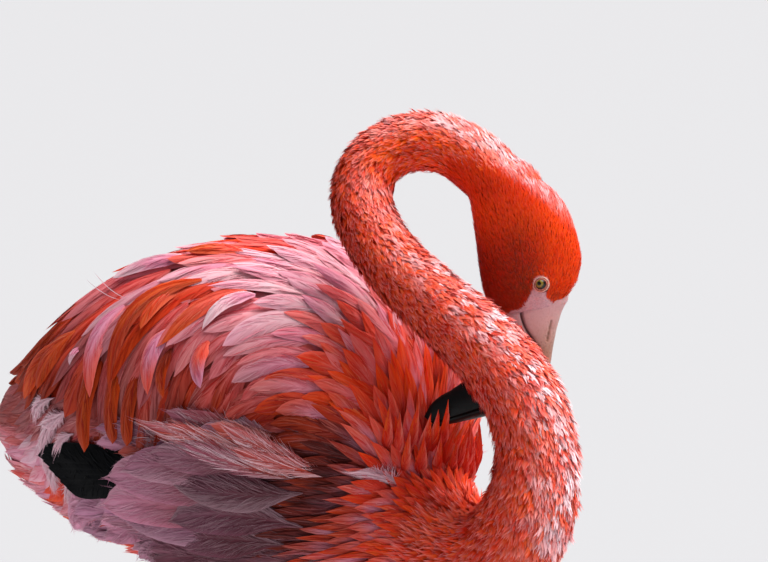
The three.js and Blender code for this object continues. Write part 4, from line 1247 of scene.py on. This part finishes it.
def claws(side, sign):
    """The three claws of a foot, each a tapered and slightly arched horn."""
    verts, tris, centres = [], [], []
    t, turn = np.linspace(0, 1, 22)[:, None], np.linspace(0, 2 * np.pi, 20, endpoint=False)
    size = CLAW_RADIUS * (1 - 0.72 * t) * np.minimum(1, ((1.0 - t) / 0.06) ** 0.5 + 0.02)
    height = 1.85 * (1 - 0.6 * t) + 0.9 * np.sin(np.pi * t) * (1 - t) + np.sin(turn) * size
    for k, (_, degrees, reach) in enumerate(TOES):
        angle = -sign * math.radians(degrees)
        across = np.array([math.cos(angle), math.sin(angle), 0])
        ahead = np.array([across[1], -across[0], 0])
        place = stance(sign) + ahead * (reach - 0.6 + CLAW_LENGTH * t[..., None])
        place = place + across * (np.cos(turn) * size)[..., None]
        place[..., 2] = np.maximum(height, 0.0)
        verts.append(place.reshape(-1, 3))
        centres.append(place.mean(1).repeat(len(turn), 0))
        tris.append(grid_tris(len(t), len(turn), closed=True) + k * height.size)
    verts, tris, centres = (np.concatenate(part) for part in (verts, tris, centres))
    return new_mesh(f"{side}_claws", verts, outward(verts, tris, centres))

def claw_material():
    """Dark horn, worn paler in places."""
    made, tree, principled = material("claw_horn", Roughness=0.38, Specular_IOR_Level=0.5)
    grain = noise_at(tree, placed(tree), 600.0)
    worn = ranged(tree, grain, 0.4, 0.75)
    connect(tree, principled, blended(tree, (*rgb(30, 24, 26), 1), (*rgb(84, 66, 64), 1), worn))
    return made

leg_finish, claw_finish = leg_material(), claw_material()
for side, sign in SIDES:
    obj, nodes = leg(side, sign)
    piece(obj, leg_finish, "leg_skin", *nodes)
    piece(claws(side, sign), claw_finish, "claw", *[f"claw_{side}_{toe}" for toe, _, _ in TOES])

# ------------------------------------------------------------------ head feathers
def rooted(count, share, radius, stretch=1.0, lie=None):
    """Roots scattered over the skin where share is above 0, kept apart by radius."""
    points, tri = skin.scatter(count, share)
    apart = skin.value(radius, points, tri) if np.ndim(radius) else np.full(count, float(radius))
    along = None if lie is None else unit(skin.value(lie, points, tri))
    kept = spread(points, apart, along, stretch)
    return points[kept], tri[kept]

covered = ease(0.0, -1.0, bare_in)
clear_of_eye = ease(EYE_OPENING + 2.2, EYE_OPENING + 3.0, eye_gap + 9 * (np.abs(eye_q[:, 2]) < 8))
clear_of_eye = np.where(head_on > 0.5, clear_of_eye, 1)
roots, tri = rooted(60000, covered * clear_of_eye * (head_on > 0.35), 1.02)
face = ease(44, 8, to_head(roots)[:, 1])
coat = Coat("head_feathers", unwrap_head, head_finish)
length, width, rise = mix(5.6, 3.8, face), mix(0.95, 0.7, face), mix(1.35, 0.75, face)
add_tufts(coat, roots, tri, length, width, rise, head_shades(roots), blades=2, gather=0.35, fan=0.5,
          tones=(0.92, 1.08))
coat.build()

# ------------------------------------------------------------------ neck feathers
NECK_COATS = (  # from, to, as shares of the neck's length, and the distance between tufts
    ("upper", 0.74, 1.1, 1.45), ("middle", 0.5, 0.74, 1.45), ("lower", 0.0, 0.5, 1.7))
TUFT_LENGTH = ([0.1, 0.3, 0.6, 0.9, 1], [12, 8.0, 7.2, 6.6, 5.6])  # by share of the neck's length
TUFT_WIDTH = ([0.1, 0.4, 1], [2.0, 1.55, 1.2])

on_neck = (neck_on > 0.25) * (head_on < 0.85) * covered
share_at = neck_share[neck_at]
for part, start, end, gap in NECK_COATS:
    coat = Coat(f"neck_feathers_{part}", unwrap_neck, neck_finish)
    roots, tri = rooted(90000, on_neck * (share_at >= start) * (share_at < end), gap)
    share = neck_share[neck_place(roots)[0]]
    ruffled = 0.82 + 0.85 * rng.random(len(roots)) ** 3
    rise = skin.value(depth, roots, tri) * ruffled * np.interp(share, [0.9, 1.0], [1, 0.6])
    add_tufts(coat, roots, tri, np.interp(share, *TUFT_LENGTH), np.interp(share, *TUFT_WIDTH), rise,
              neck_shades(roots), blades=4, gather=0.7, fan=0.9)
    coat.build()

# ------------------------------------------------------------------ body feathers
def body_set(coat, roots, tri, lie, length, width, pale, low, high, rows, shape, strands, gauge, deep=0.0,
             vane=None, **more):
    """Feathers that lie over each other along the skin, in the body's colours."""
    places, normals = laid(roots, tri, length, rows, lie, low, high)
    width = np.minimum(width, 0.38 * length)
    shades = body_shades(roots, places[:, -2], pale, deep)
    vanes = Vanes(roots, places, normals, width / 2, shape, *shades, **(vane or {}))
    add_feathers(coat, vanes, strands, gauge, **more)

def wing_floor(y):
    """How low the folded wing's feathers hang at each y."""
    return 652 + 32 * ease(56, 74, y)

PLUME_END = ([610, 616, 622, 630, 638, 650, 661, 668, 700, 712], [400, 90, 78, 66, 52, 36, 6, -6, -12, 400])

def plume_end(z):
    """How far back the flank's feathers reach over the flight feathers, at each height."""
    return np.interp(z, *PLUME_END)

def cleared(roots, tri, length, early=0):
    """Lengths cut so that the feathers on the flanks leave the flight feathers bare."""
    y = roots[:, 1]
    tips = trace(roots, tri, length, 4, body_lie)[0][:, -1]
    end = np.where(np.abs(roots[:, 0]) > 40, plume_end(tips[:, 2]), 400)
    end = end + rng.uniform(-6, 4, len(roots)) - early
    share = np.clip((end - y) / np.maximum(tips[:, 1] - y, 1), 0.3, 1)
    return length * np.where(y < end - 4, share, 1)

on_body = (neck_on < 0.55) * (thigh_on < 0.4) * (head_on < 0.1)
skin_x, skin_y, skin_z = skin_verts.T
on_wing = ease(-4, 8, skin_z - np.maximum(wing_floor(skin_y), 668))
on_wing = on_wing * ease(-150, -128, skin_y) * ease(236, 214, skin_y)
under_flight = ease(-75, -40, skin_y) * ease(132, 120, skin_y) * (np.abs(skin_x) > 50)
under_flight = under_flight * ease(612, 622, skin_z) * ease(676, 664, skin_z)
for part, share in (("front", skin_y < -60), ("rear", skin_y >= -60)):
    coat = Coat(f"body_feathers_{part}", unwrap_body, vane_finish)
    here = on_body * share * (on_wing < 0.6) * ((under_flight < 0.5) | (skin_y < 6))
    roots, tri = rooted(30000, here, body_width * 0.46, 2.1, body_lie)
    length = skin.value(body_length, roots, tri) * rng.uniform(0.9, 1.2, len(roots))
    length = cleared(roots, tri, length)
    width = skin.value(body_width, roots, tri) * rng.uniform(0.65, 1.05, len(roots))
    width = width * (1 + 0.35 * ease(-60, -90, roots[:, 1]) * ease(670, 700, roots[:, 2]))
    deep = skin.value(depth, roots, tri) * (1 - 0.75 * skin.value(under_flight, roots, tri))
    breast = blob(roots, (0, -150, 690), (60, 40, 50))
    high = deep * (rng.uniform(0.7, 1.1, len(roots)) + breast * rng.uniform(0, 0.6, len(roots)))
    body_set(coat, roots, tri, body_lie, length, width, skin.value(body_pale, roots, tri), 0.3, high, 8,
             "pointed", 18, 0.4, vane=dict(roll=0.2, blend=(0.25, 0.8)))
    coat.build()
for side, sign in SIDES:
    coat = Coat(f"wing_feathers_{side}", unwrap_body, vane_finish)
    here = (skin_x * sign > -3) * on_body * on_wing
    # short feathers that close the gaps, darkened by deep as painted shade between the long ones
    roots, tri = rooted(9000, here, wing_width * 0.55, 1.6, wing_lie)
    count = len(roots)
    length, width = rng.uniform(26, 36, count), rng.uniform(12, 16, count)
    high = skin.value(depth, roots, tri) * rng.uniform(0.3, 0.45, count)
    body_set(coat, roots, tri, wing_lie, length, width, skin.value(wing_pale, roots, tri) * 0.5, 0.3, high, 6,
             "blunt", 0, 0.4, deep=0.45)
    # long feathers over them, cut where the wing ends
    roots, tri = rooted(12000, here, wing_width * 0.46, 5.5, wing_lie)
    length = skin.value(wing_length, roots, tri) * rng.uniform(0.95, 1.35, len(roots))
    tips = trace(roots, tri, length, 4, wing_lie)[0][:, -1]
    room = roots[:, 2] - wing_floor(tips[:, 1]) + rng.uniform(-9, 9, len(roots))
    left = room / np.maximum(roots[:, 2] - tips[:, 2], 1)
    roots, tri, length = (a[left > 0.3] for a in (roots, tri, length * np.clip(left, 0, 1)))
    width = skin.value(wing_width, roots, tri) * rng.uniform(0.95, 1.4, len(roots))
    deep = skin.value(depth, roots, tri)
    # painted highlight: feathers rooted higher on the wing are more often pale
    pale = skin.value(wing_pale, roots, tri) * mix(0.5, 0.76, ease(720, 758, roots[:, 2]))
    high = deep * rng.uniform(0.75, 1.15, len(roots))
    body_set(coat, roots, tri, wing_lie, length, width, pale, deep * 0.4, high, 12, "long", 34, 0.42,
             vane=dict(roll=0.22, camber=0.36, bend=0.1, blend=(0.1, 0.85)), span=(0.2, 0.36))
    coat.build()

# ------------------------------------------------------------------ flight and tail feathers
def on_side(sign, y, z, out):
    """Points that far outside the skin of one side, at those y and z."""
    hits = [skin.tree.ray_cast(Vector((sign * 220.0, b, c)), Vector((-sign, 0.0, 0.0))) for b, c in zip(y, z)]
    x = np.array([h[0][0] if h[0] is not None else sign * 40.0 for h in hits])
    return np.stack([x + sign * out, y, z], 1)

def flight_feathers(side, sign):
    """The six black feathers that show below a folded wing, one under the other."""
    t = np.linspace(0, 1, 17)
    lines = []
    for k in range(6):
        y = -12 + 4 * k + (139 - 10 * k) * t
        z = 652.5 - 3.0 * k - (8 + 0.8 * k) * t + 1.5 * np.sin(3 * t)
        line = on_side(sign, y, z, 0)
        line[:, 0] = np.convolve(np.pad(line[:, 0], 3, "edge"), np.ones(7) / 7, "valid")
        line[:, 0] += sign * (2 + 8.5 * ease(0, 0.3, t) + 0.9 * k * (1 - 0.4 * t) + 1.5 * t)
        lines.append(line)
    lines = np.array(lines)
    facing = np.broadcast_to(unit(np.array([sign, 0, -0.25])), lines.shape)
    dark = np.tile(rgb(2, 3, 6), (len(lines), 1))
    vanes = Vanes(lines[:, 2], lines, facing, np.full(len(lines), 10.0), "blunt", dark, dark, dark * 1.2,
                  camber=0.16, roll=0.05, bend=0.01)
    coat = Coat(f"primaries_{side}", unwrap_body, black_finish)
    add_feathers(coat, vanes, 60, 0.4, span=(0.05, 0.09), reach=(0.85, 1.03), first=0.1, last=0.94,
                 lift=(0.05, 0.15), curl=0.02, fair=0)
    coat.build("black_feathers", f"flight_feathers_{side}")

def tail_feathers():
    """The tail: two layers of feathers, fanned out a little."""
    t = np.linspace(0, 1, 13)
    lines, facing = [], []
    for layer in range(2):
        for k in np.linspace(-1, 1, 13 - layer):
            x = 30 * k * (0.75 + 0.25 * t)
            z = 668 - 16 * t - 0.004 * x ** 2 - 5 * layer + 4.5 * (1 - abs(k)) * (1 - 0.3 * t)
            lines.append(np.stack([x, 186 + (84 - 9 * k * k) * t, z], 1))
            facing.append(np.tile([0.25 * k, 0.1, 1.0], (len(t), 1)))
    lines = np.array(lines)
    count = len(lines)
    base, tip = mix(BLUSH, LILAC, rng.random(count)), mix(LILAC, SALMON, rng.random(count) * 0.8)
    vanes = Vanes(lines[:, 1], lines, unit(np.array(facing)), np.full(count, 8.5), "blunt", base, tip,
                  mix(tip, BLUSH, 0.5), roll=0.08)
    coat = Coat("tail_feathers", unwrap_body, vane_finish)
    add_feathers(coat, vanes, 40, 0.45, span=(0.12, 0.2), reach=(0.7, 1.1), last=0.88)
    coat.build("plumage", "tail")

for side, sign in SIDES:
    flight_feathers(side, sign)
tail_feathers()

# ------------------------------------------------------------------ soft plumes of the flanks
def add_plumes(coat, roots, tri, lengths, widths, low, high, base, tip, barbs, gauge, loose=1.4, fair=0.18):
    """Loose feathers: a soft vane, and long fine barbs that curl out past its margins."""
    lengths = cleared(roots, tri, lengths, 16)
    places, normals = laid(roots, tri, lengths, 11, body_lie, low, high, 0.9)
    vanes = Vanes(roots, places, normals, widths, "plume", base, tip, mix(tip, BLUSH, 0.2), camber=0.3,
                  roll=0.35, bend=0.14)
    add_feathers(coat, vanes, barbs, gauge, span=(0.18, 0.4), reach=(0.6, loose), lift=(0.1, 1.0), curl=1.2,
                 fair=fair, vary=(0.8, 1.3))

def plume_shades(p, tone):
    """Lilac plumes towards the rear, their lilac partly a painted tint of bluish shade; darker and redder
    ones towards the breast and the belly, as painted shade.
    """
    # painted shade: dark grows towards the breast and low on the belly
    dark = np.clip(ease(10, -80, p[:, 1]) + 0.35 * ease(626, 600, p[:, 2]), 0, 1)
    base = mix(mix(DUSK, SALMON, 0.4 * tone), MAROON, 0.3 + 0.6 * dark)
    return base, mix(mix(DUSK, LILAC, tone), MAROON, 0.8 * dark)

for side, sign in SIDES:
    coat = Coat(f"flank_plumes_{side}", unwrap_body, plume_finish)
    p = skin_verts * [-sign, 1, 1]
    here = on_body * (p[:, 0] < -10)
    lower = blob(p, (-84, -58, 634), (40, 50, 28)) + blob(p, (-80, 0, 618), (40, 50, 24))
    lower = lower + 0.7 * blob(p, (-50, -60, 590), (40, 50, 22))
    lower = lower * here * (p[:, 1] < plume_end(p[:, 2]) - 24)
    roots, tri = rooted(2500, lower * (lower > 0.3), 9.5)
    count = len(roots)
    tone = rng.random(count)
    add_plumes(coat, roots, tri, rng.uniform(62, 98, count), rng.uniform(9, 14, count), 3.0,
               rng.uniform(9, 14, count), *plume_shades(roots, tone), 150, 0.23)
    upper = (blob(p, (-92, -84, 668), (30, 26, 15)) + blob(p, (-100, -44, 668), (30, 26, 12))) * here
    roots, tri = rooted(900, upper * (upper > 0.35), 9.5)
    count = len(roots)
    base = mix(DEEP_RUST, MAROON, 0.6 * rng.random(count))
    add_plumes(coat, roots, tri, rng.uniform(48, 76, count), rng.uniform(6, 9, count), 5.0,
               rng.uniform(11, 15, count), base, mix(mix(DUSK, SALMON, rng.random(count)), MAROON, 0.35),
               110, 0.27, loose=1.8, fair=0.5)
    coat.build()

# ------------------------------------------------------------------ feathers that stand out singly
SINGLE_ROWS = 13

def arched(ends):
    """Shafts through a root, a middle and a tip each."""
    root, middle, tip = (np.asarray(ends, float)[:, k, None] for k in range(3))
    t = np.linspace(0, 1, SINGLE_ROWS)[:, None]
    return root * (1 - t) ** 2 + 2 * (2 * middle - (root + tip) / 2) * t * (1 - t) + tip * t * t

def add_single(coat, ends, facing, width, base, tip, strands, gauge, shape="plume", camber=0.3, roll=0.15,
               edge=0.3, **more):
    """Feathers placed one by one; edge is how pale their margins are."""
    lines = arched(ends)
    facing = unit(np.broadcast_to(facing, lines.shape))
    vanes = Vanes(lines[:, 0], lines, facing, np.asarray(width, float), shape, base, tip,
                  mix(tip, BLUSH, edge), camber, roll)
    add_feathers(coat, vanes, strands, gauge, **more)

BREAST_OUT = np.array([-0.62, -0.76, 0.2])
CREST = [  # root and tip of the breast feathers that stand up by the bill's end
    ((1, -162, 664), (-11, -181, 703)), ((-8, -161, 666), (-14, -177, 696)),
    ((-14, -160, 664), (-19, -172, 693)), ((-22, -157, 668), (-24, -166, 701)),
    ((9, -162, 660), (-1, -184, 687)), ((21, -160, 656), (13, -177, 686)),
    ((35, -154, 654), (26, -166, 684)), ((50, -146, 648), (39, -160, 682)),
    ((-4, -162, 652), (-9, -173, 679)), ((10, -161, 648), (4, -174, 676)),
    ((24, -158, 646), (18, -170, 672)), ((-16, -160, 652), (-22, -168, 679)),
    ((38, -152, 642), (31, -161, 668)), ((-30, -153, 664), (-34, -161, 695)),
    ((-36, -150, 668), (-42, -156, 700)), ((4, -162, 656), (1, -178, 692)),
    ((28, -157, 652), (20, -172, 680)), ((-26, -156, 654), (-31, -164, 684)),
    ((16, -161, 652), (9, -177, 682)), ((44, -149, 644), (37, -158, 670)),
]
FLANK_PLUMES = [  # y, z and height over the skin at root, middle and tip, and half the width
    ((-84, 655, 8), (-48, 661, 18), (-16, 661, 22), 11), ((-80, 644, 8), (-32, 656, 20), (10, 653, 24), 13),
    ((-74, 630, 8), (-18, 644, 20), (28, 641, 24), 16), ((-62, 616, 7), (-4, 628, 19), (42, 626, 25), 16),
    ((-66, 602, 7), (-6, 612, 15), (44, 610, 17), 15), ((-112, 642, 8), (-70, 640, 17), (-26, 646, 20), 13),
    ((-104, 618, 8), (-60, 626, 17), (-14, 620, 20), 15), ((-84, 604, 7), (-40, 606, 15), (4, 600, 16), 14),
]
UPPER_PLUMES = [
    ((-98, 657, 5), (-56, 671, 16), (-14, 686, 20), 8), ((-92, 664, 5), (-52, 676, 16), (-20, 680, 19), 7),
    ((-122, 660, 5), (-98, 671, 15), (-74, 685, 18), 7),
    ((-132, 652, 4), (-104, 662, 14), (-80, 672, 17), 7),
    ((-112, 650, 5), (-74, 660, 16), (-36, 668, 19), 8),
]
RUST_FEATHERS = [
    ((44, 730, 2), (53, 692, 12), (60, 656, 18), 6), ((26, 726, 2), (29, 692, 10), (32, 664, 14), 6),
    ((6, 720, 2), (11, 690, 10), (14, 663, 13), 6),
]
WHITE_FLUFF = [
    ((96, 672, 3), (112, 664, 10), (124, 646, 11), 7), ((84, 680, 3), (98, 672, 11), (112, 668, 12), 6),
    ((112, 668, 3), (126, 652, 9), (134, 634, 9), 7), ((98, 630, 3), (112, 622, 8), (124, 612, 8), 7),
    ((104, 686, 3), (120, 680, 9), (132, 670, 9), 6), ((84, 664, 3), (96, 658, 9), (106, 646, 9), 5),
    ((116, 640, 3), (128, 630, 8), (136, 618, 8), 6), ((-155, 647, 5), (-149, 653, 12), (-142, 657, 13), 7),
]
STRAYS = [  # root, middle and tip of the white filaments on the right wing
    ((-90, 36, 757), (-98, 44, 763), (-104, 54, 774)), ((-91, 43, 756), (-98, 50, 760), (-105, 60, 769)),
]
WING_AXIS = np.array([0, 0, 700])  # the wings' feathers stand away from here
WING_ORANGE = rgb(236, 98, 44)
WING_FEATHERS = [  # root, middle and tip on the bird's right, half the width, colours of base and tip
    ((-93, 39, 754), (-107, 50, 727), (-112, 48, 693), 8, LILAC, SALMON),
    ((-78, -20, 775), (-100, 22, 749), (-113, 26, 697), 7.5, WING_ORANGE, RUST),
    ((-74, -11, 777), (-92, 4, 759), (-104, 8, 740), 7, SALMON, WING_ORANGE),
    ((-102, -13, 743), (-110, -7, 724), (-112, -9, 700), 7.5, LILAC, SALMON),
    ((-74, -58, 771), (-91, -36, 757), (-107, -19, 731), 7.5, SALMON, WING_ORANGE),
    ((-107, -21, 731), (-111, -19, 714), (-111, -23, 699), 5, DEEP_RUST, RUST),
    ((-74, -66, 768), (-86, -52, 761), (-98, -45, 744), 6.5, LILAC, BLUSH),
    ((-100, -49, 738), (-105, -46, 724), (-107, -52, 707), 7.5, SALMON, LILAC),
    ((-58, 12, 786), (-64, 44, 778), (-73, 68, 765), 7, LILAC, BLUSH),
    ((-46, -26, 792), (-50, -3, 790), (-57, 14, 786), 6.5, SALMON, WING_ORANGE),
    ((-93, 102, 723), (-91, 125, 704), (-85, 143, 681), 7, RUST, WING_ORANGE),
    ((-96, 84, 733), (-97, 106, 712), (-93, 120, 690), 7, WING_ORANGE, RUST),
    ((-103, 70, 724), (-105, 72, 719), (-107, 72, 712), 2.5, LILAC, BLUSH)]

def beside(sign, rows):
    """Roots, middles and tips of feathers on one side, from y, z and height over the skin."""
    table = np.array([point for row in rows for point in row[:3]], float)
    out = np.array([on_side(sign, [y], [z], h)[0] for y, z, h in table])
    return out.reshape(-1, 3, 3), np.array([row[3] for row in rows], float)

coat = Coat("crest_feathers", unwrap_body, vane_finish)
crest = np.array(CREST, float)
ends = np.stack([crest[:, 0] - 4 * BREAST_OUT, crest.mean(1) + BREAST_OUT * 3.5, crest[:, 1]], 1)
tone = rng.random(len(crest))
add_single(coat, ends, BREAST_OUT, rng.uniform(3.4, 5.0, len(crest)), mix(RED, CORAL, tone),
           mix(ORANGE, RUST, 0.5 * tone), 40, 0.33, "spear", span=(0.2, 0.36), reach=(0.5, 1.25))
coat.build()
for side, sign in SIDES:
    facing = np.array([sign, 0, -0.1])
    coat = Coat(f"large_plumes_{side}", unwrap_body, plume_finish)
    ends, width = beside(sign, FLANK_PLUMES)
    base, tip = plume_shades(ends[:, 1], rng.random(len(ends)))
    add_single(coat, ends, facing, width, base, tip, 560, 0.2, camber=0.12, roll=0.03, span=(0.16, 0.34),
               reach=(0.7, 1.14), last=0.8, lift=(0.1, 0.9), curl=0.9, fair=0.25, vary=(0.85, 1.2))
    ends, width = beside(sign, UPPER_PLUMES)
    tone = rng.random(len(ends))
    base, tip = mix(CORAL, DEEP_RUST, 0.5 + 0.5 * tone), mix(mix(SALMON, DUSK, tone), MAROON, 0.2)
    add_single(coat, ends, facing, 0.85 * width, base, tip, 190, 0.25, edge=0.12, span=(0.22, 0.45),
               reach=(0.8, 1.9), lift=(0.2, 1.2), curl=1.2, fair=1.1)
    ends, width = beside(sign, WHITE_FLUFF)
    white = np.tile(mix(LILAC, BLUSH, 0.75), (len(ends), 1))
    add_single(coat, ends, facing, 0.5 * width, white, white, 320, 0.2, span=(0.25, 0.6), reach=(0.8, 3.2),
               lift=(0.2, 1.6), curl=2.2, fair=0.7)
    ends, width = beside(sign, RUST_FEATHERS)
    tone = rng.random(len(ends))
    base, tip = mix(DEEP_RUST, RUST, tone), mix(RUST, DEEP_RUST, 0.6 * tone)
    add_single(coat, ends, facing, width, base, tip, 60, 0.32, "blunt", edge=0.06, span=(0.2, 0.36),
               fair=0.02)
    if sign < 0:
        white = np.tile(BLUSH, (len(STRAYS), 1))
        add_single(coat, STRAYS, facing, [0.35, 0.3], white, white, 1, 0.2, "long")
    coat.build()
for side, sign in SIDES:
    ends = np.array([row[:3] for row in WING_FEATHERS], float)
    above = unit((ends - WING_AXIS) * [1, 0, 1])
    ends = (ends + above * np.array([-3.0, 1.6, 1.6])[:, None]) * [-sign, 1, 1]
    facing = unit((arched(ends) - WING_AXIS) * [1, 0, 1])
    width, base, tip = (np.array([row[k] for row in WING_FEATHERS]) for k in (3, 4, 5))
    coat = Coat(f"scapulars_{side}", unwrap_body, vane_finish)
    add_single(coat, ends, facing, width, base, tip, 60, 0.32, "long", roll=0.06, edge=0.08, span=(0.2, 0.36),
               reach=(0.45, 1.05))
    coat.build()

# ------------------------------------------------------------------ thighs
for side, sign in SIDES:
    coat = Coat(f"thigh_feathers_{side}", unwrap_thigh, vane_finish)
    roots, tri = rooted(5000, (thigh_on > 0.25) * (skin_x * sign > 0), 3.6)
    count = len(roots)
    length = np.interp(roots[:, 2], [492, 510, 560], [7, 13, 26]) * rng.uniform(0.85, 1.15, count)
    length = np.minimum(length, np.maximum(roots[:, 2] - 489, 5))
    high = skin.value(depth, roots, tri) * rng.uniform(0.6, 1.0, count)
    places, normals = laid(roots, tri, length, 5, body_lie, 0.2, high)
    tone = rng.random(count)
    warm = mix(CORAL, SALMON, tone)
    vanes = Vanes(roots, places, normals, length * 0.17 + 0.9, "pointed", mix(SALMON, LILAC, 0.6 * tone),
                  warm, mix(warm, BLUSH, 0.3))
    add_feathers(coat, vanes, 4, 0.3)
    coat.build()

# ------------------------------------------------------------------ stage, light and camera
made, _, principled = material("floor_pale", Roughness=0.9)
principled.inputs["Base Color"].default_value = (*rgb(178, 180, 185), 1)
square = np.array([[-1, -1, 0], [1, -1, 0], [1, 1, 0], [-1, 1, 0]])
floor = new_mesh("floor", square * 60000.0, [[0, 1, 2], [0, 2, 3]])
floor.data.materials.append(made)

AZIMUTH, ELEVATION, DISTANCE = math.radians(-45), math.radians(6), 3600
RIGHT = np.array([math.cos(AZIMUTH), math.sin(AZIMUTH), 0])
BACK = np.array([RIGHT[1], -RIGHT[0], 0]) * math.cos(ELEVATION) + [0, 0, math.sin(ELEVATION)]
UP = np.cross(BACK, RIGHT)
TARGET = np.array([68.8, -42.6, 762.7])

def aimed(obj, at, back, right=None):
    """Puts a camera or lamp at a place, looking against back."""
    back = unit(np.asarray(back, float))
    right = unit(np.cross([0, 0, 1.0], back)) if right is None else right
    up = np.cross(back, right)
    turn = Matrix([[right[i], up[i], back[i]] for i in range(3)]).to_4x4()
    obj.matrix_world = Matrix.Translation(Vector(at * MM)) @ turn
    bpy.context.scene.collection.objects.link(obj)

camera = bpy.data.cameras.new("camera")
camera.lens, camera.sensor_width, camera.clip_end = 253.76, 36, 200
camera_object = bpy.data.objects.new("camera", camera)
aimed(camera_object, TARGET + DISTANCE * BACK, BACK, RIGHT)
bpy.context.scene.camera = camera_object

def lamp(name, kind, direction, distance, strength, colour, **settings):
    """A lamp in that direction from the bird, and that far away."""
    light = bpy.data.lights.new(name, kind)
    for key, value in dict(energy=strength, color=colour, **settings).items():
        setattr(light, key, value)
    direction = unit(np.asarray(direction, float))
    aimed(bpy.data.objects.new(name, light), np.array([0, 0, 700]) + direction * distance, direction)

lamp("key", "SUN", 0.46 * RIGHT + 0.85 * UP + 0.15 * BACK, 2600, 6.2, (1.0, 0.965, 0.92),
     angle=math.radians(60))
lamp("fill", "AREA", -0.7 * RIGHT + 0.25 * UP + 0.7 * BACK, 3200, 2, (0.84, 0.88, 1.0),
     shape="DISK", size=2.2)
world = bpy.data.worlds.new("studio")
world.use_nodes = True
world.node_tree.nodes["Background"].inputs[0].default_value = (*rgb(222, 226, 238), 1)
world.node_tree.nodes["Background"].inputs[1].default_value = 0.16
bpy.context.scene.world = world
bpy.context.scene.view_settings.view_transform = "Standard"

def corners(box):
    return [list(map(float, corner)) for corner in box]
